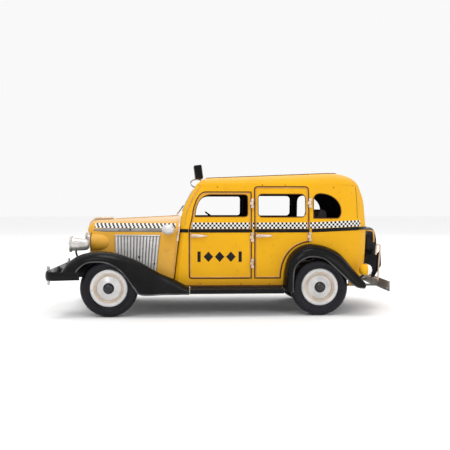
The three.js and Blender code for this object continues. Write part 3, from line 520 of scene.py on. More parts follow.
@dataclass(frozen=True)
class Finish:
    """One surface finish, from its base tone to its grain."""

    name: str
    slot: str
    base: Colour
    shade: Colour
    bright: Colour
    metallic: float = 0.0
    rough: float = 0.4
    spread: float = 0.08
    cloud: float = 30.0
    age: float = 0.3
    grain: float = 900.0
    bump: float = 0.05
    coat: float = 0.0
    foot: float = 0.0
    shine: float = 0.5
    # crown: how far the hood's top is paled to cream, a painted highlight
    crown: float = 0.0
    band: Band | None = None

    def make(self) -> bpy.types.Material:
        """The material, built once for each finish.

        Returns:
            The material.
        """
        found = bpy.data.materials.get(self.name)
        if found:
            return found
        material = bpy.data.materials.new(self.name)
        material.use_nodes = True
        w = Wiring(material.node_tree)
        shader = material.node_tree.nodes["Principled BSDF"]
        shader.inputs["Metallic"].default_value = self.metallic
        shader.inputs["Coat Weight"].default_value = self.coat
        shader.inputs["Specular IOR Level"].default_value = self.shine
        shader.inputs["Coat Roughness"].default_value = 0.18
        colour = w.node("ShaderNodeGroup", node_tree=Groups.clouds())
        for key, value in (("Base", self.base), ("Shade", self.shade), ("Bright", self.bright)):
            colour.inputs[key].default_value = value
        colour.inputs["Scale"].default_value = self.cloud
        colour.inputs["Age"].default_value = self.age
        tone = colour.outputs["Colour"]
        if self.foot:
            tone = self._foot_shade(w, tone)
        # painted highlight: the hood's top paled to cream
        if self.crown:
            tone = self._rubbed_crown(w, tone)
        if self.band:
            tone = self._banded(w, tone)
        w.put(shader.inputs["Base Color"], tone)
        grain = w.node("ShaderNodeGroup", node_tree=Groups.grain())
        grain.inputs["Scale"].default_value = self.grain
        grain.inputs["Rough"].default_value = self.rough
        grain.inputs["Spread"].default_value = self.spread
        w.put(shader.inputs["Roughness"], grain.outputs["Roughness"])
        relief = w.node("ShaderNodeBump")
        relief.inputs["Strength"].default_value = self.bump
        relief.inputs["Distance"].default_value = 0.0004
        w.put(relief.inputs["Height"], grain.outputs["Height"])
        w.put(shader.inputs["Normal"], relief.outputs["Normal"])
        return material

    def _foot_shade(self, w: Wiring, tone: bpy.types.NodeSocket) -> bpy.types.NodeSocket:
        """Darkens the paint softly towards the sill.

        Args:
            w: the wiring of the material.
            tone: the colour so far.

        Returns:
            The output to read.
        """
        split = w.node("ShaderNodeSeparateXYZ")
        w.put(split.inputs[0], w.node("ShaderNodeTexCoord").outputs["Object"])
        share = w.ramp(split.outputs["Z"], 0.025, 0.037, self.foot, 0.0)
        return w.mix(share, tone, self.shade)

    def _rubbed_crown(self, w: Wiring, tone: bpy.types.NodeSocket) -> bpy.types.NodeSocket:
        """Pales the paint towards the top of the hood: a painted highlight where the top light falls.

        Args:
            w: the wiring of the material.
            tone: the colour so far.

        Returns:
            The output to read.
        """
        split = w.node("ShaderNodeSeparateXYZ")
        w.put(split.inputs[0], w.node("ShaderNodeTexCoord").outputs["Object"])
        share = w.ramp(split.outputs["Z"], 0.0835, 0.0905, 0.0, self.crown)
        # the cream of the painted highlight on the hood's top
        return w.mix(share, tone, (0.70, 0.50, 0.29, 1))

    def _banded(self, w: Wiring, tone: bpy.types.NodeSocket) -> bpy.types.NodeSocket:
        """Lays the chequered band over the paint.

        Args:
            w: the wiring of the material.
            tone: the colour so far.

        Returns:
            The output to read.
        """
        band = self.band
        group = w.node("ShaderNodeGroup", node_tree=Groups.check_band())
        rows = 3
        for key, value in (("Front", band.front), ("Rear", band.rear), ("Low", band.low), ("High", band.high),
            ("Square", band.square), ("Row", (band.high - band.low) / rows), ("Lift", band.lift)):
            group.inputs[key].default_value = value * MM
        group.inputs["Lean"].default_value = band.lean
        ink = w.mix(group.outputs["White"], (0.006, 0.006, 0.006, 1), (0.80, 0.78, 0.74, 1))
        return w.mix(group.outputs["Mask"], tone, ink)


YELLOW: Colour = (0.785, 0.405, 0.006, 1)
UMBER: Colour = (0.20, 0.075, 0.018, 1)
BELT_LIFT = 1.9  # how much the belt and the band climb at the tail
CABIN_BAND = Band(front=-25.9, rear=134.6, low=80.4, high=86.2, square=1.93, lift=BELT_LIFT)
HOOD_BAND = Band(front=-118.8, rear=-41.0, low=80.9, high=85.3, square=1.93, lean=0.5)

PAINT = Finish("yellow_lacquer", "yellow_paint", YELLOW, UMBER, (0.75, 0.375, 0.006, 1), rough=0.5, age=0.12,
    foot=0.34, shine=0.16, band=CABIN_BAND)
# HOOD_PAINT's crown pales the hood's top to cream: a painted highlight
HOOD_PAINT = Finish("hood_lacquer", "yellow_paint", (0.68, 0.345, 0.022, 1), UMBER, (0.71, 0.38, 0.055, 1),
    rough=0.42, age=0.16, shine=0.3, crown=0.75, band=HOOD_BAND)
BLACK = Finish("black_enamel", "black_paint", (0.002, 0.002, 0.0025, 1), (0.022, 0.019, 0.016, 1),
    (0.005, 0.005, 0.006, 1), rough=0.26, spread=0.1, age=0.3, shine=0.15)
# EDGE is a lighter grey for the fender lips: a painted highlight along the rolled edge
EDGE = Finish("enamel_edge_highlight", "black_paint", (0.03, 0.03, 0.031, 1), (0.01, 0.01, 0.01, 1),
    (0.11, 0.11, 0.11, 1), rough=0.34, cloud=60.0, age=0.4, shine=0.4)
LINING = Finish("cabin_lining", "black_paint", (0.004, 0.004, 0.004, 1), (0.012, 0.010, 0.009, 1),
    (0.008, 0.007, 0.007, 1), rough=0.75, age=0.3, shine=0.15)
# BEAD is a lighter tan than the lacquer: on the raised beads, seams and rims it is a painted highlight, on
# the spare strap the strap's own tan
BEAD = Finish("tan_bead_highlight", "yellow_paint", (0.58, 0.28, 0.045, 1), UMBER, (0.66, 0.36, 0.11, 1), rough=0.4,
    cloud=70.0, age=0.5, shine=0.4)
# Thin umber lines and heads on seams, rims, edges and pins: partly dark joints, partly painted shade beside
# raised edges
DARK_JOINT_AND_SHADE = Finish("umber_joint_and_shade", "yellow_paint", (0.10, 0.035, 0.010, 1), (0.03, 0.012, 0.006, 1),
    (0.16, 0.062, 0.012, 1), rough=0.6, cloud=90.0, age=0.5, shine=0.2)
PLATED = Finish("worn_plating", "plated", (0.46, 0.44, 0.41, 1), (0.13, 0.11, 0.08, 1), (0.64, 0.62, 0.60, 1),
    metallic=0.6, rough=0.34, spread=0.12, cloud=75.0, age=0.75)
ROSE = Finish("rubbed_copper_plate", "plated", (0.58, 0.41, 0.27, 1), (0.22, 0.10, 0.05, 1),
    (0.78, 0.66, 0.56, 1), metallic=0.35, rough=0.36, cloud=110.0, age=0.6)
SILVER = Finish("silver_paint", "plated", (0.55, 0.54, 0.53, 1), (0.28, 0.23, 0.18, 1),
    (0.70, 0.695, 0.69, 1), metallic=0.35, rough=0.38, cloud=45.0, age=0.35)
CREAM = Finish("cream_line", "plated", (0.46, 0.37, 0.28, 1), (0.24, 0.16, 0.10, 1), (0.60, 0.51, 0.42, 1),
    metallic=0.3, rough=0.4, cloud=70.0, age=0.4)
DULL = Finish("grey_plate", "plated", (0.17, 0.16, 0.15, 1), (0.06, 0.05, 0.04, 1), (0.27, 0.26, 0.25, 1),
    metallic=0.4, rough=0.5, cloud=50.0, age=0.6, shine=0.35)
STEEL = Finish("bare_steel", "steel", (0.30, 0.30, 0.31, 1), (0.10, 0.08, 0.06, 1), (0.42, 0.42, 0.43, 1),
    metallic=0.9, rough=0.38, cloud=50.0, age=0.4)
BRASS = Finish("gear_brass", "brass", (0.48, 0.32, 0.11, 1), (0.16, 0.09, 0.03, 1), (0.62, 0.45, 0.18, 1),
    metallic=0.95, rough=0.35, cloud=60.0, age=0.4)
RUBBER = Finish("tyre_rubber", "tyre", (0.005, 0.005, 0.0075, 1), (0.025, 0.023, 0.021, 1),
    (0.010, 0.010, 0.014, 1), rough=0.28, spread=0.08, age=0.25, bump=0.08, shine=0.2)
TRIM = Finish("seat_cloth", "seat_trim", (0.022, 0.019, 0.017, 1), (0.008, 0.007, 0.006, 1),
    (0.04, 0.034, 0.03, 1), rough=0.7, grain=1400.0, bump=0.3, shine=0.3)
GLASS = Finish("lamp_lens", "lamp", (0.72, 0.70, 0.67, 1), (0.5, 0.44, 0.36, 1), (0.84, 0.83, 0.80, 1),
    rough=0.16, spread=0.04, cloud=80.0, age=0.2, coat=0.4)
HUB = Finish("hub_enamel", "black_paint", (0.008, 0.008, 0.010, 1), (0.03, 0.027, 0.025, 1),
    (0.014, 0.014, 0.017, 1), rough=0.14, spread=0.03, age=0.2, shine=0.5)
MARK = Finish("black_marking", "black_paint", (0.008, 0.007, 0.006, 1), (0.05, 0.03, 0.010, 1),
    (0.013, 0.012, 0.011, 1), rough=0.5, cloud=80.0, age=0.35, shine=0.15)


# ---------- meshes ----------
def finish_piece(obj: bpy.types.Object, body: str, stands_for: Iterable[str] = ()) -> None:
    """Shades a mesh and ties it to its body.

    Args:
        obj: the piece, with its place in its mesh.
        body: the body that it rides on.
        stands_for: the nodes that it replaces.
    """
    mesh = obj.data
    for face in mesh.polygons:
        face.use_smooth = True
    mesh.set_sharp_from_angle(angle=SHARP)
    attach(obj, body)
    if stands_for:
        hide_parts(*stands_for)
    LOG.info("%s rides on %s, %d faces", obj.name, body, len(mesh.polygons))


def new_object(name: str, points: Sequence[Vector], faces: Sequence[Sequence[int]],
    *finishes: Finish) -> bpy.types.Object:
    """A linked object from millimetre points.

    Args:
        name: the object's name.
        points: its vertices.
        faces: its faces, as vertex numbers.
        finishes: its material slots, the first on every face.

    Returns:
        The object, in metres, with its doubles merged.
    """
    mesh = bpy.data.meshes.new(name)
    mesh.from_pydata([tuple(p * MM) for p in points], [], [tuple(f) for f in faces])
    for finish in finishes:
        mesh.materials.append(finish.make())
    work = bmesh.new()
    work.from_mesh(mesh)
    bmesh.ops.remove_doubles(work, verts=work.verts, dist=MERGE)
    work.to_mesh(mesh)
    work.free()
    obj = bpy.data.objects.new(name, mesh)
    bpy.context.scene.collection.objects.link(obj)
    return obj


def settled(obj: bpy.types.Object) -> bpy.types.Object:
    """The object with its modifiers worked into a plain mesh.

    Args:
        obj: the object.

    Returns:
        The object.
    """
    graph = bpy.context.evaluated_depsgraph_get()
    mesh = bpy.data.meshes.new_from_object(obj.evaluated_get(graph), depsgraph=graph)
    obj.modifiers.clear()
    old = obj.data
    obj.data = mesh
    if old.users == 0 and isinstance(old, bpy.types.Mesh):
        bpy.data.meshes.remove(old)
    mesh.name = obj.name
    return obj


def face_outwards(obj: bpy.types.Object, closed: bool = True, outward: Vector | None = None) -> None:
    """Turns the faces out: by their own closed shape, or towards a direction for an open sheet.

    Args:
        obj: the object.
        closed: whether the shape is closed.
        outward: roughly which way it faces.
    """
    work = bmesh.new()
    work.from_mesh(obj.data)
    bmesh.ops.recalc_face_normals(work, faces=work.faces)
    if not closed:
        lean = sum((f.normal * f.calc_area() for f in work.faces), Vector())
        if lean.dot(outward) < 0:
            bmesh.ops.reverse_faces(work, faces=work.faces)
    work.to_mesh(obj.data)
    work.free()


def grid_faces(rows: int, columns: int, wrap: bool = False) -> list[tuple[int, ...]]:
    """Faces over a grid of points, row by row, with its columns closed into a ring if asked.

    Args:
        rows: how many rows there are.
        columns: points in a row.
        wrap: whether the columns close into a ring.

    Returns:
        The faces.
    """
    last = columns if wrap else columns - 1
    return [(i * columns + j, i * columns + (j + 1) % columns, (i + 1) * columns + (j + 1) % columns,
        (i + 1) * columns + j) for i in range(rows - 1) for j in range(last)]


def sheet(name: str, rows: Sequence[Sequence[Vector]], outward: Vector, outer: Finish, inner: Finish,
    thick: float = SHEET) -> bpy.types.Object:
    """A sheet of tin over a grid of points, thickened inwards.

    Args:
        name: the piece's name.
        rows: rows of points on its outer face.
        outward: roughly which way it faces.
        outer: the finish outside.
        inner: the finish inside and on its cut edges.
        thick: its thickness.

    Returns:
        The thickened object.
    """
    points = [p for row in rows for p in row]
    obj = new_object(name, points, grid_faces(len(rows), len(rows[0])), outer, inner)
    face_outwards(obj, False, outward)
    return thickened(obj, thick)


def thickened(obj: bpy.types.Object, thick: float = SHEET) -> bpy.types.Object:
    """Gives a sheet its thickness, with its second finish inside.

    Args:
        obj: the object.
        thick: the thickness.

    Returns:
        The object.
    """
    wall = obj.modifiers.new("wall", "SOLIDIFY")
    wall.thickness = thick * MM
    wall.offset = -1
    wall.material_offset = 1
    wall.material_offset_rim = 1
    return settled(obj)


def filled(name: str, outline: Loop, holes: Sequence[Loop], place: Place, outward: Vector, outer: Finish,
    inner: Finish, thick: float = SHEET, cell: Pair = (6.0, 3.5)) -> bpy.types.Object:
    """A sheet cut to an outline with holes, bent over a surface.

    Args:
        name: the piece's name.
        outline: its outer edge, in flat millimetres.
        holes: its openings.
        place: carries a flat point to its place on the car.
        outward: roughly which way it faces.
        outer: the finish outside.
        inner: the finish inside and on its cut edges.
        thick: its thickness.
        cell: how finely it is divided each way.

    Returns:
        The thickened object.
    """
    curve = bpy.data.curves.new(name, "CURVE")
    curve.dimensions = "2D"
    curve.fill_mode = "BOTH"
    for loop in [outline, *holes]:
        corners = tidy_loop(loop)
        spline = curve.splines.new("POLY")
        spline.points.add(len(corners) - 1)
        for point, (u, v) in zip(spline.points, corners):
            point.co = (u * MM, v * MM, 0, 1)
        spline.use_cyclic_u = True
    flat = bpy.data.objects.new(name + "_flat", curve)
    bpy.context.scene.collection.objects.link(flat)
    graph = bpy.context.evaluated_depsgraph_get()
    mesh = bpy.data.meshes.new_from_object(flat.evaluated_get(graph), depsgraph=graph)
    bpy.data.objects.remove(flat)
    work = bmesh.new()
    work.from_mesh(mesh)
    bpy.data.meshes.remove(mesh)
    bmesh.ops.remove_doubles(work, verts=work.verts, dist=MERGE)
    bmesh.ops.dissolve_limit(work, angle_limit=0.01, verts=[], edges=work.edges[:])
    for axis in (0, 1):
        low = min(p[axis] for p in outline)
        high = max(p[axis] for p in outline)
        count = max(1, round((high - low) / cell[axis]))
        for k in range(1, count):
            at = Vector((0, 0, 0))
            at[axis] = (low + (high - low) * k / count) * MM
            normal = Vector((0, 0, 0))
            normal[axis] = 1
            parts = work.verts[:] + work.edges[:] + work.faces[:]
            bmesh.ops.bisect_plane(work, geom=parts, dist=1e-7, plane_co=at, plane_no=normal)
    work.verts.index_update()
    points = [place(v.co.x / MM, v.co.y / MM) for v in work.verts]
    faces = [[v.index for v in f.verts] for f in work.faces]
    work.free()
    obj = new_object(name, points, faces, outer, inner)
    face_outwards(obj, False, outward)
    return thickened(obj, thick)


class Axis(Enum):
    """The line that a turned piece is spun about."""

    X = 0
    Y = 1
    Z = 2


def turned(name: str, profile: Sequence[Pair], axis: Axis, at: Sequence[float], finish: Finish,
    segments: int = 64, tilt: float = 0.0) -> bpy.types.Object:
    """A turned piece.

    Args:
        name: the piece's name.
        profile: (radius, distance along the axis) pairs, closed on the axis or on themselves.
        axis: the line that it is spun about.
        at: a point on that line.
        finish: its finish.
        segments: how many flats make the round.
        tilt: how far a piece spun about X leans in side view, in degrees.

    Returns:
        The object, faces outwards.
    """
    points, faces = spun(profile, axis, at, segments, tilt)
    obj = new_object(name, points, faces, finish)
    face_outwards(obj)
    return obj


def spun(profile: Sequence[Pair], axis: Axis, at: Sequence[float], segments: int, tilt: float = 0.0) -> Shape:
    """The points and faces of a turned piece.

    Args:
        profile: (radius, distance) pairs.
        axis: the line it is spun about.
        at: the point or vector to read at.
        segments: how many flats make the round.
        tilt: how far it leans, in degrees.

    Returns:
        The points and faces.
    """
    u, v = [k for k in range(3) if k != axis.value]
    centre = Vector(at)
    lean = math.radians(tilt)
    points = []
    for r, distance in profile:
        for k in range(segments):
            a = 2 * math.pi * k / segments
            p = Vector((0, 0, 0))
            p[axis.value] = distance
            p[u] = max(r, 0) * math.cos(a)
            p[v] = max(r, 0) * math.sin(a)
            if tilt:
                p = Vector((p.x * math.cos(lean) - p.z * math.sin(lean), p.y,
                    p.x * math.sin(lean) + p.z * math.cos(lean)))
            points.append(centre + p)
    faces = grid_faces(len(profile), segments, wrap=True)
    return points, faces


def round_profile(points: Sequence[Pair], steps: int = 4) -> list[Pair]:
    """A turned profile with its corners softened by a smooth curve through its points."""
    return [(max(0.0, p[0]), p[1]) for p in through(points, steps)]


def box_points(x0: float, x1: float, y0: float, y1: float, z0: float, z1: float) -> Shape:
    """The corners and faces of a block.

    Args:
        x0: the low end along the car.
        x1: the high end along the car.
        y0: the low end across.
        y1: the high end across.
        z0: the lower end.
        z1: the upper end.

    Returns:
        The points and faces.
    """
    points = [Vector((x, y, z)) for x in (x0, x1) for y in (y0, y1) for z in (z0, z1)]
    faces = [(0, 1, 3, 2), (4, 6, 7, 5), (0, 4, 5, 1), (2, 3, 7, 6), (0, 2, 6, 4), (1, 5, 7, 3)]
    return points, faces


def joined_mesh(name: str, parts: Iterable[tuple[Sequence[Vector], Sequence[Sequence[int]]]], finish: Finish,
    bevel: float = 0.0, segments: int = 2) -> bpy.types.Object:
    """Several closed shapes as one piece, its edges rounded if asked.

    Args:
        name: its name.
        parts: the shapes, each as points and faces.
        finish: its finish.
        bevel: how far the edges are rounded.
        segments: how many flats round an edge.

    Returns:
        The object.
    """
    points: list[Vector] = []
    faces: list[tuple[int, ...]] = []
    for shape, sides in parts:
        start = len(points)
        points += list(shape)
        faces += [tuple(i + start for i in side) for side in sides]
    obj = new_object(name, points, faces, finish)
    face_outwards(obj)
    if bevel:
        edge = obj.modifiers.new("edge", "BEVEL")
        edge.width = bevel * MM
        edge.segments = segments
        edge.limit_method = "ANGLE"
        edge.angle_limit = math.radians(30)
        settled(obj)
    return obj


def slab(loop: Loop, lift: Callable[[float, float, float], Vector], low: float, high: float) -> Shape:
    """The points and faces of a plate cut to a loop, between two distances.

    Args:
        loop: the loop to work on.
        lift: carries a flat point and a distance to its place.
        low: the lower limit.
        high: the upper limit.

    Returns:
        The points and faces.
    """
    loop = tidy_loop(loop)
    count = len(loop)
    points = [lift(a, b, low) for a, b in loop] + [lift(a, b, high) for a, b in loop]
    sides = [(i, (i + 1) % count, count + (i + 1) % count, count + i) for i in range(count)]
    return points, sides + [tuple(range(count - 1, -1, -1)), tuple(range(count, 2 * count))]


# ---------- geometry node trees ----------
class Trees:
    """The node trees that make what follows a line or repeats over a surface."""

    _made: dict[str, bpy.types.NodeTree] = {}

    @classmethod
    def sweep(cls) -> bpy.types.NodeTree:
        """A round section swept along every line of a mesh.

        Returns:
            The tree.
        """
        if "sweep" not in cls._made:
            tree = bpy.data.node_groups.new("swept_bead", "GeometryNodeTree")
            socket(tree, "Geometry", "NodeSocketGeometry")
            socket(tree, "Radius", "NodeSocketFloat", 0.001)
            socket(tree, "Sides", "NodeSocketInt", 8)
            socket(tree, "Finish", "NodeSocketMaterial")
            socket(tree, "Geometry", "NodeSocketGeometry", out=True)
            w = Wiring(tree)
            given = w.node("NodeGroupInput").outputs
            section = w.node("GeometryNodeCurvePrimitiveCircle")
            w.put(section.inputs["Resolution"], given["Sides"])
            w.put(section.inputs["Radius"], given["Radius"])
            path = w.node("GeometryNodeMeshToCurve")
            w.put(path.inputs["Mesh"], given["Geometry"])
            run = w.node("GeometryNodeCurveToMesh")
            w.put(run.inputs["Curve"], path.outputs[0])
            w.put(run.inputs["Profile Curve"], section.outputs[0])
            run.inputs["Fill Caps"].default_value = True
            cls._close(w, run.outputs[0], given["Finish"])
            cls._made["sweep"] = tree
        return cls._made["sweep"]

    @classmethod
    def studs(cls) -> bpy.types.NodeTree:
        """A small domed head on every point of a mesh, stood on the point's normal.

        Returns:
            The tree.
        """
        if "studs" not in cls._made:
            tree = bpy.data.node_groups.new("domed_studs", "GeometryNodeTree")
            socket(tree, "Geometry", "NodeSocketGeometry")
            socket(tree, "Radius", "NodeSocketFloat", 0.001)
            socket(tree, "Height", "NodeSocketFloat", 0.5)
            socket(tree, "Finish", "NodeSocketMaterial")
            socket(tree, "Geometry", "NodeSocketGeometry", out=True)
            w = Wiring(tree)
            given = w.node("NodeGroupInput").outputs
            head = w.node("GeometryNodeMeshUVSphere")
            head.inputs["Segments"].default_value = 12
            head.inputs["Rings"].default_value = 8
            w.put(head.inputs["Radius"], given["Radius"])
            squat = w.node("ShaderNodeCombineXYZ")
            squat.inputs[0].default_value = 1.0
            squat.inputs[1].default_value = 1.0
            w.put(squat.inputs[2], given["Height"])
            turn = w.node("FunctionNodeAlignEulerToVector", axis="Z")
            w.put(turn.inputs["Vector"], w.node("GeometryNodeInputNormal").outputs[0])
            spread = w.node("GeometryNodeInstanceOnPoints")
            w.put(spread.inputs["Points"], given["Geometry"])
            w.put(spread.inputs["Instance"], head.outputs["Mesh"])
            w.put(spread.inputs["Rotation"], turn.outputs[0])
            w.put(spread.inputs["Scale"], squat.outputs[0])
            cls._close(w, spread.outputs[0], given["Finish"])
            cls._made["studs"] = tree
        return cls._made["studs"]

    @staticmethod
    def _close(w: Wiring, geometry: bpy.types.NodeSocket, finish: bpy.types.NodeSocket) -> None:
        """Ends a tree in Realize Instances and Set Material.

        Args:
            w: the wiring of the material.
            geometry: the geometry to end with.
            finish: its finish.
        """
        real = w.node("GeometryNodeRealizeInstances")
        w.put(real.inputs[0], geometry)
        dress = w.node("GeometryNodeSetMaterial")
        w.put(dress.inputs["Geometry"], real.outputs[0])
        w.put(dress.inputs["Material"], finish)
        w.put(w.node("NodeGroupOutput").inputs[0], dress.outputs[0])

    @staticmethod
    def run(obj: bpy.types.Object, tree: bpy.types.NodeTree, **values: object) -> bpy.types.Object:
        """Runs a tree on an object and keeps the result as its plain mesh.

        Args:
            obj: the object.
            tree: the node tree.
            values: its plain values, by name.

        Returns:
            The object.
        """
        grown = obj.modifiers.new(tree.name, "NODES")
        grown.node_group = tree
        names = {item.name: item.identifier for item in tree.interface.items_tree if item.item_type ==
            "SOCKET" and item.in_out == "INPUT"}
        for name, value in values.items():
            grown[names[name]] = value
        settled(obj)
        face_outwards(obj)
        return obj


def swept(name: str, lines: Sequence[tuple[Sequence[Vector], bool]], radius: float, finish: Finish,
    sides: int = 10) -> bpy.types.Object:
    """Wires, beads or ribs along lines.

    Args:
        name: the piece's name.
        lines: each line's points, and whether it closes.
        radius: the section's radius.
        finish: its finish.
        sides: how many flats the section has.

    Returns:
        The object, ready to ride.
    """
    mesh = bpy.data.meshes.new(name)
    points: list[Vector] = []
    edges: list[tuple[int, int]] = []
    for line, closed in lines:
        start = len(points)
        points += list(line)
        count = len(line)
        edges += [(start + i, start + i + 1) for i in range(count - 1)]
        if closed:
            edges.append((start + count - 1, start))
    mesh.from_pydata([tuple(p * MM) for p in points], edges, [])
    obj = bpy.data.objects.new(name, mesh)
    bpy.context.scene.collection.objects.link(obj)
    return Trees.run(obj, Trees.sweep(), Radius=radius * MM, Sides=sides, Finish=finish.make())


def run_trim(name: str, line: Sequence[Vector], radius: float, finish: Finish, sides: int,
    closed: bool = False, body: str = "car", stands_for: Iterable[str] = ()) -> None:
    """One wire or bead along a line, dressed and tied to its body."""
    finish_piece(swept(name, [(line, closed)], radius, finish, sides), body, stands_for)


def studded(name: str, spots: Sequence[tuple[Vector, Vector]], radius: float, finish: Finish,
    height: float = 0.5) -> bpy.types.Object:
    """Domed heads at spots, each spot a point and the way that it faces.

    Args:
        name: its name.
        spots: each point and the way that it faces.
        radius: the radius of a head.
        finish: its finish.
        height: how tall a head is for its radius.

    Returns:
        The object.
    """
    points: list[Vector] = []
    faces: list[tuple[int, int, int]] = []
    tiny = 0.004
    for spot, facing in spots:
        side = facing.orthogonal().normalized() * tiny
        other = facing.cross(side).normalized() * tiny
        start = len(points)
        points += [spot + side, spot + other, spot - side - other]
        faces.append((start, start + 1, start + 2))
    mesh = bpy.data.meshes.new(name)
    mesh.from_pydata([tuple(p * MM) for p in points], [], faces)
    work = bmesh.new()
    work.from_mesh(mesh)
    work.faces.ensure_lookup_table()
    for face, (_, facing) in zip(work.faces[:], spots):
        face.normal_update()
        if face.normal.dot(facing) < 0:
            face.normal_flip()
    work.to_mesh(mesh)
    work.free()
    obj = bpy.data.objects.new(name, mesh)
    bpy.context.scene.collection.objects.link(obj)
    return Trees.run(obj, Trees.studs(), Radius=radius * MM, Height=height, Finish=finish.make())


# ---------- the cabin ----------
def belt_rise(x: float) -> float:
    """How much the belt has climbed by this station."""
    return BELT_LIFT * smooth_step((x - 78) / 60)


@dataclass
class Shell:
    """The form of the cabin: a few level lines, and a crowned roof above the rail."""

    sill: float = 26.0
    rail: float = 121.5
    crown: float = 10.7
    slope: float = 0.046
    slope_mid: float = 52.0
    crown_power: float = 2.3
    front_corner: float = 6.0
    rear_corner: float = 28.0
    back_seam: float = 131.0
    cowl_depth: float = 4.5
    widths: tuple[Pair, ...] = ((26, 47.6), (45, 48.4), (62, 48.9), (79.5, 49), (95, 48), (108, 46.7),
        (121.5, 44.6))
    fronts: tuple[Pair, ...] = ((26, -43.6), (62, -39.6), (79.5, -37.2), (95, -35), (108, -29.4),
        (121.5, -21.6))
    rears: tuple[Pair, ...] = ((26, 138.2), (45, 142.8), (62, 144.0), (79.5, 144.4), (95, 143.4),
        (108, 142.2), (121.5, 138.0))

    def taper(self, x: float) -> float:
        """The narrowing towards the cowl."""
        return 1 - 0.05 * smooth_step((-5 - x) / 34)

    def side(self, x: float, z: float, side: Side = Side.LEFT, out: float = 0.0) -> Vector:
        """A point of a side panel, by its place in side view.

        Args:
            x: along the car.
            z: up.
            side: which side.
            out: how far it stands off the skin.

        Returns:
            The point.
        """
        half = along(self.widths, z)
        x0 = along(self.fronts, z) + self.front_corner
        x1 = along(self.rears, z) - self.rear_corner
        if x < x0:
            r = self.front_corner
            half += -r + math.sqrt(max(0.0, r * r - (x0 - x) ** 2))
        if x > x1:
            r = self.rear_corner
            half += -r + math.sqrt(max(0.0, r * r - (x - x1) ** 2))
        return Vector((x, side.value * (half * self.taper(x) + out), z))

    def back(self, u: float, z: float, out: float = 0.0) -> Vector:
        """A point of the back panel, by its distance from the middle and its height.

        Args:
            u: the distance from the middle, measured round the panel.
            z: the height.
            out: how far it stands off the skin.

        Returns:
            The point.
        """
        flat, bent = 20.0, 34.0
        half = along(self.widths, z) + out
        x1 = along(self.rears, z) + out
        r = self.rear_corner + out
        limit = math.acos(max(-1.0, min(1.0, (self.back_seam - (x1 - r)) / r)))
        if abs(u) <= flat:
            return Vector((x1, u / flat * (half - r), z))
        a = (abs(u) - flat) / bent * limit
        return Vector((x1 - r + r * math.cos(a), math.copysign(half - r + r * math.sin(a), u), z))

    def front(self, u: float, z: float, out: float = 0.0) -> Vector:
        """A point of the cowl, by its distance from the middle and its height.

        Args:
            u: the distance from the middle, measured round the panel.
            z: the height.
            out: how far it stands off the skin.

        Returns:
            The point.
        """
        flat, bent = 40.0, 8.0
        half = along(self.widths, z) + out
        x0 = along(self.fronts, z) - out
        r = self.front_corner + out
        limit = math.acos(1 - self.cowl_depth / self.front_corner)
        if abs(u) <= flat:
            x, y = x0, u / flat * (half - r)
        else:
            a = (abs(u) - flat) / bent * limit
            x = x0 + r - r * math.cos(a)
            y = math.copysign(half - r + r * math.sin(a), u)
        return Vector((x, y * self.taper(x), z))

    def roof_ring(self, degrees: float, out: float = 0.0) -> list[Vector]:
        """One level line of the crown, from 0 at the rail to 90 at the top, left half then right half.

        Args:
            degrees: from 0 at the rail to 90 at the top.
            out: how far it stands off the skin.

        Returns:
            The points, in order.
        """
        a = math.radians(degrees)
        shrink = math.cos(a) ** (2 / self.crown_power)
        rise = math.sin(a) ** (2 / self.crown_power)
        half = (self.widths[-1][1] - 1.7 * rise) * shrink
        x0 = self.fronts[-1][1] + 6.2 * rise + 9.0 * (1 - shrink)
        x1 = self.rears[-1][1] - 8.0 * rise - 24.0 * (1 - shrink)
        r0 = min(self.front_corner, half * 0.9) * (0.4 + 0.6 * shrink)
        r1 = min(self.rear_corner * (0.4 + 0.6 * shrink), half * 0.9)
        flat: list[Pair] = [(x0, -(half - r0) * k / 6) for k in range(6)]
        for k in range(9):
            t = math.radians(90 * k / 8)
            flat.append((x0 + r0 - r0 * math.cos(t), -(half - r0 + r0 * math.sin(t))))
        run = x1 - r1 - x0 - r0
        flat += [(x0 + r0 + run * k / 22, -half) for k in range(1, 22)]
        for k in range(17):
            t = math.radians(90 * k / 16)
            flat.append((x1 - r1 + r1 * math.sin(t), -(half - r1 + r1 * math.cos(t))))
        flat += [(x1, -(half - r1) * (5 - k) / 6) for k in range(5)]
        ring = flat + [(x, -y) for x, y in reversed(flat)]

        def lifted(x: float, y: float) -> Vector:
            """A plan point raised to the crown."""
            climb = self.slope * (x - self.slope_mid) * rise
            return Vector((x, y * self.taper(x), self.rail + (self.crown + out) * rise + climb))

        return [lifted(x, y) for x, y in ring]


SHELL = Shell()


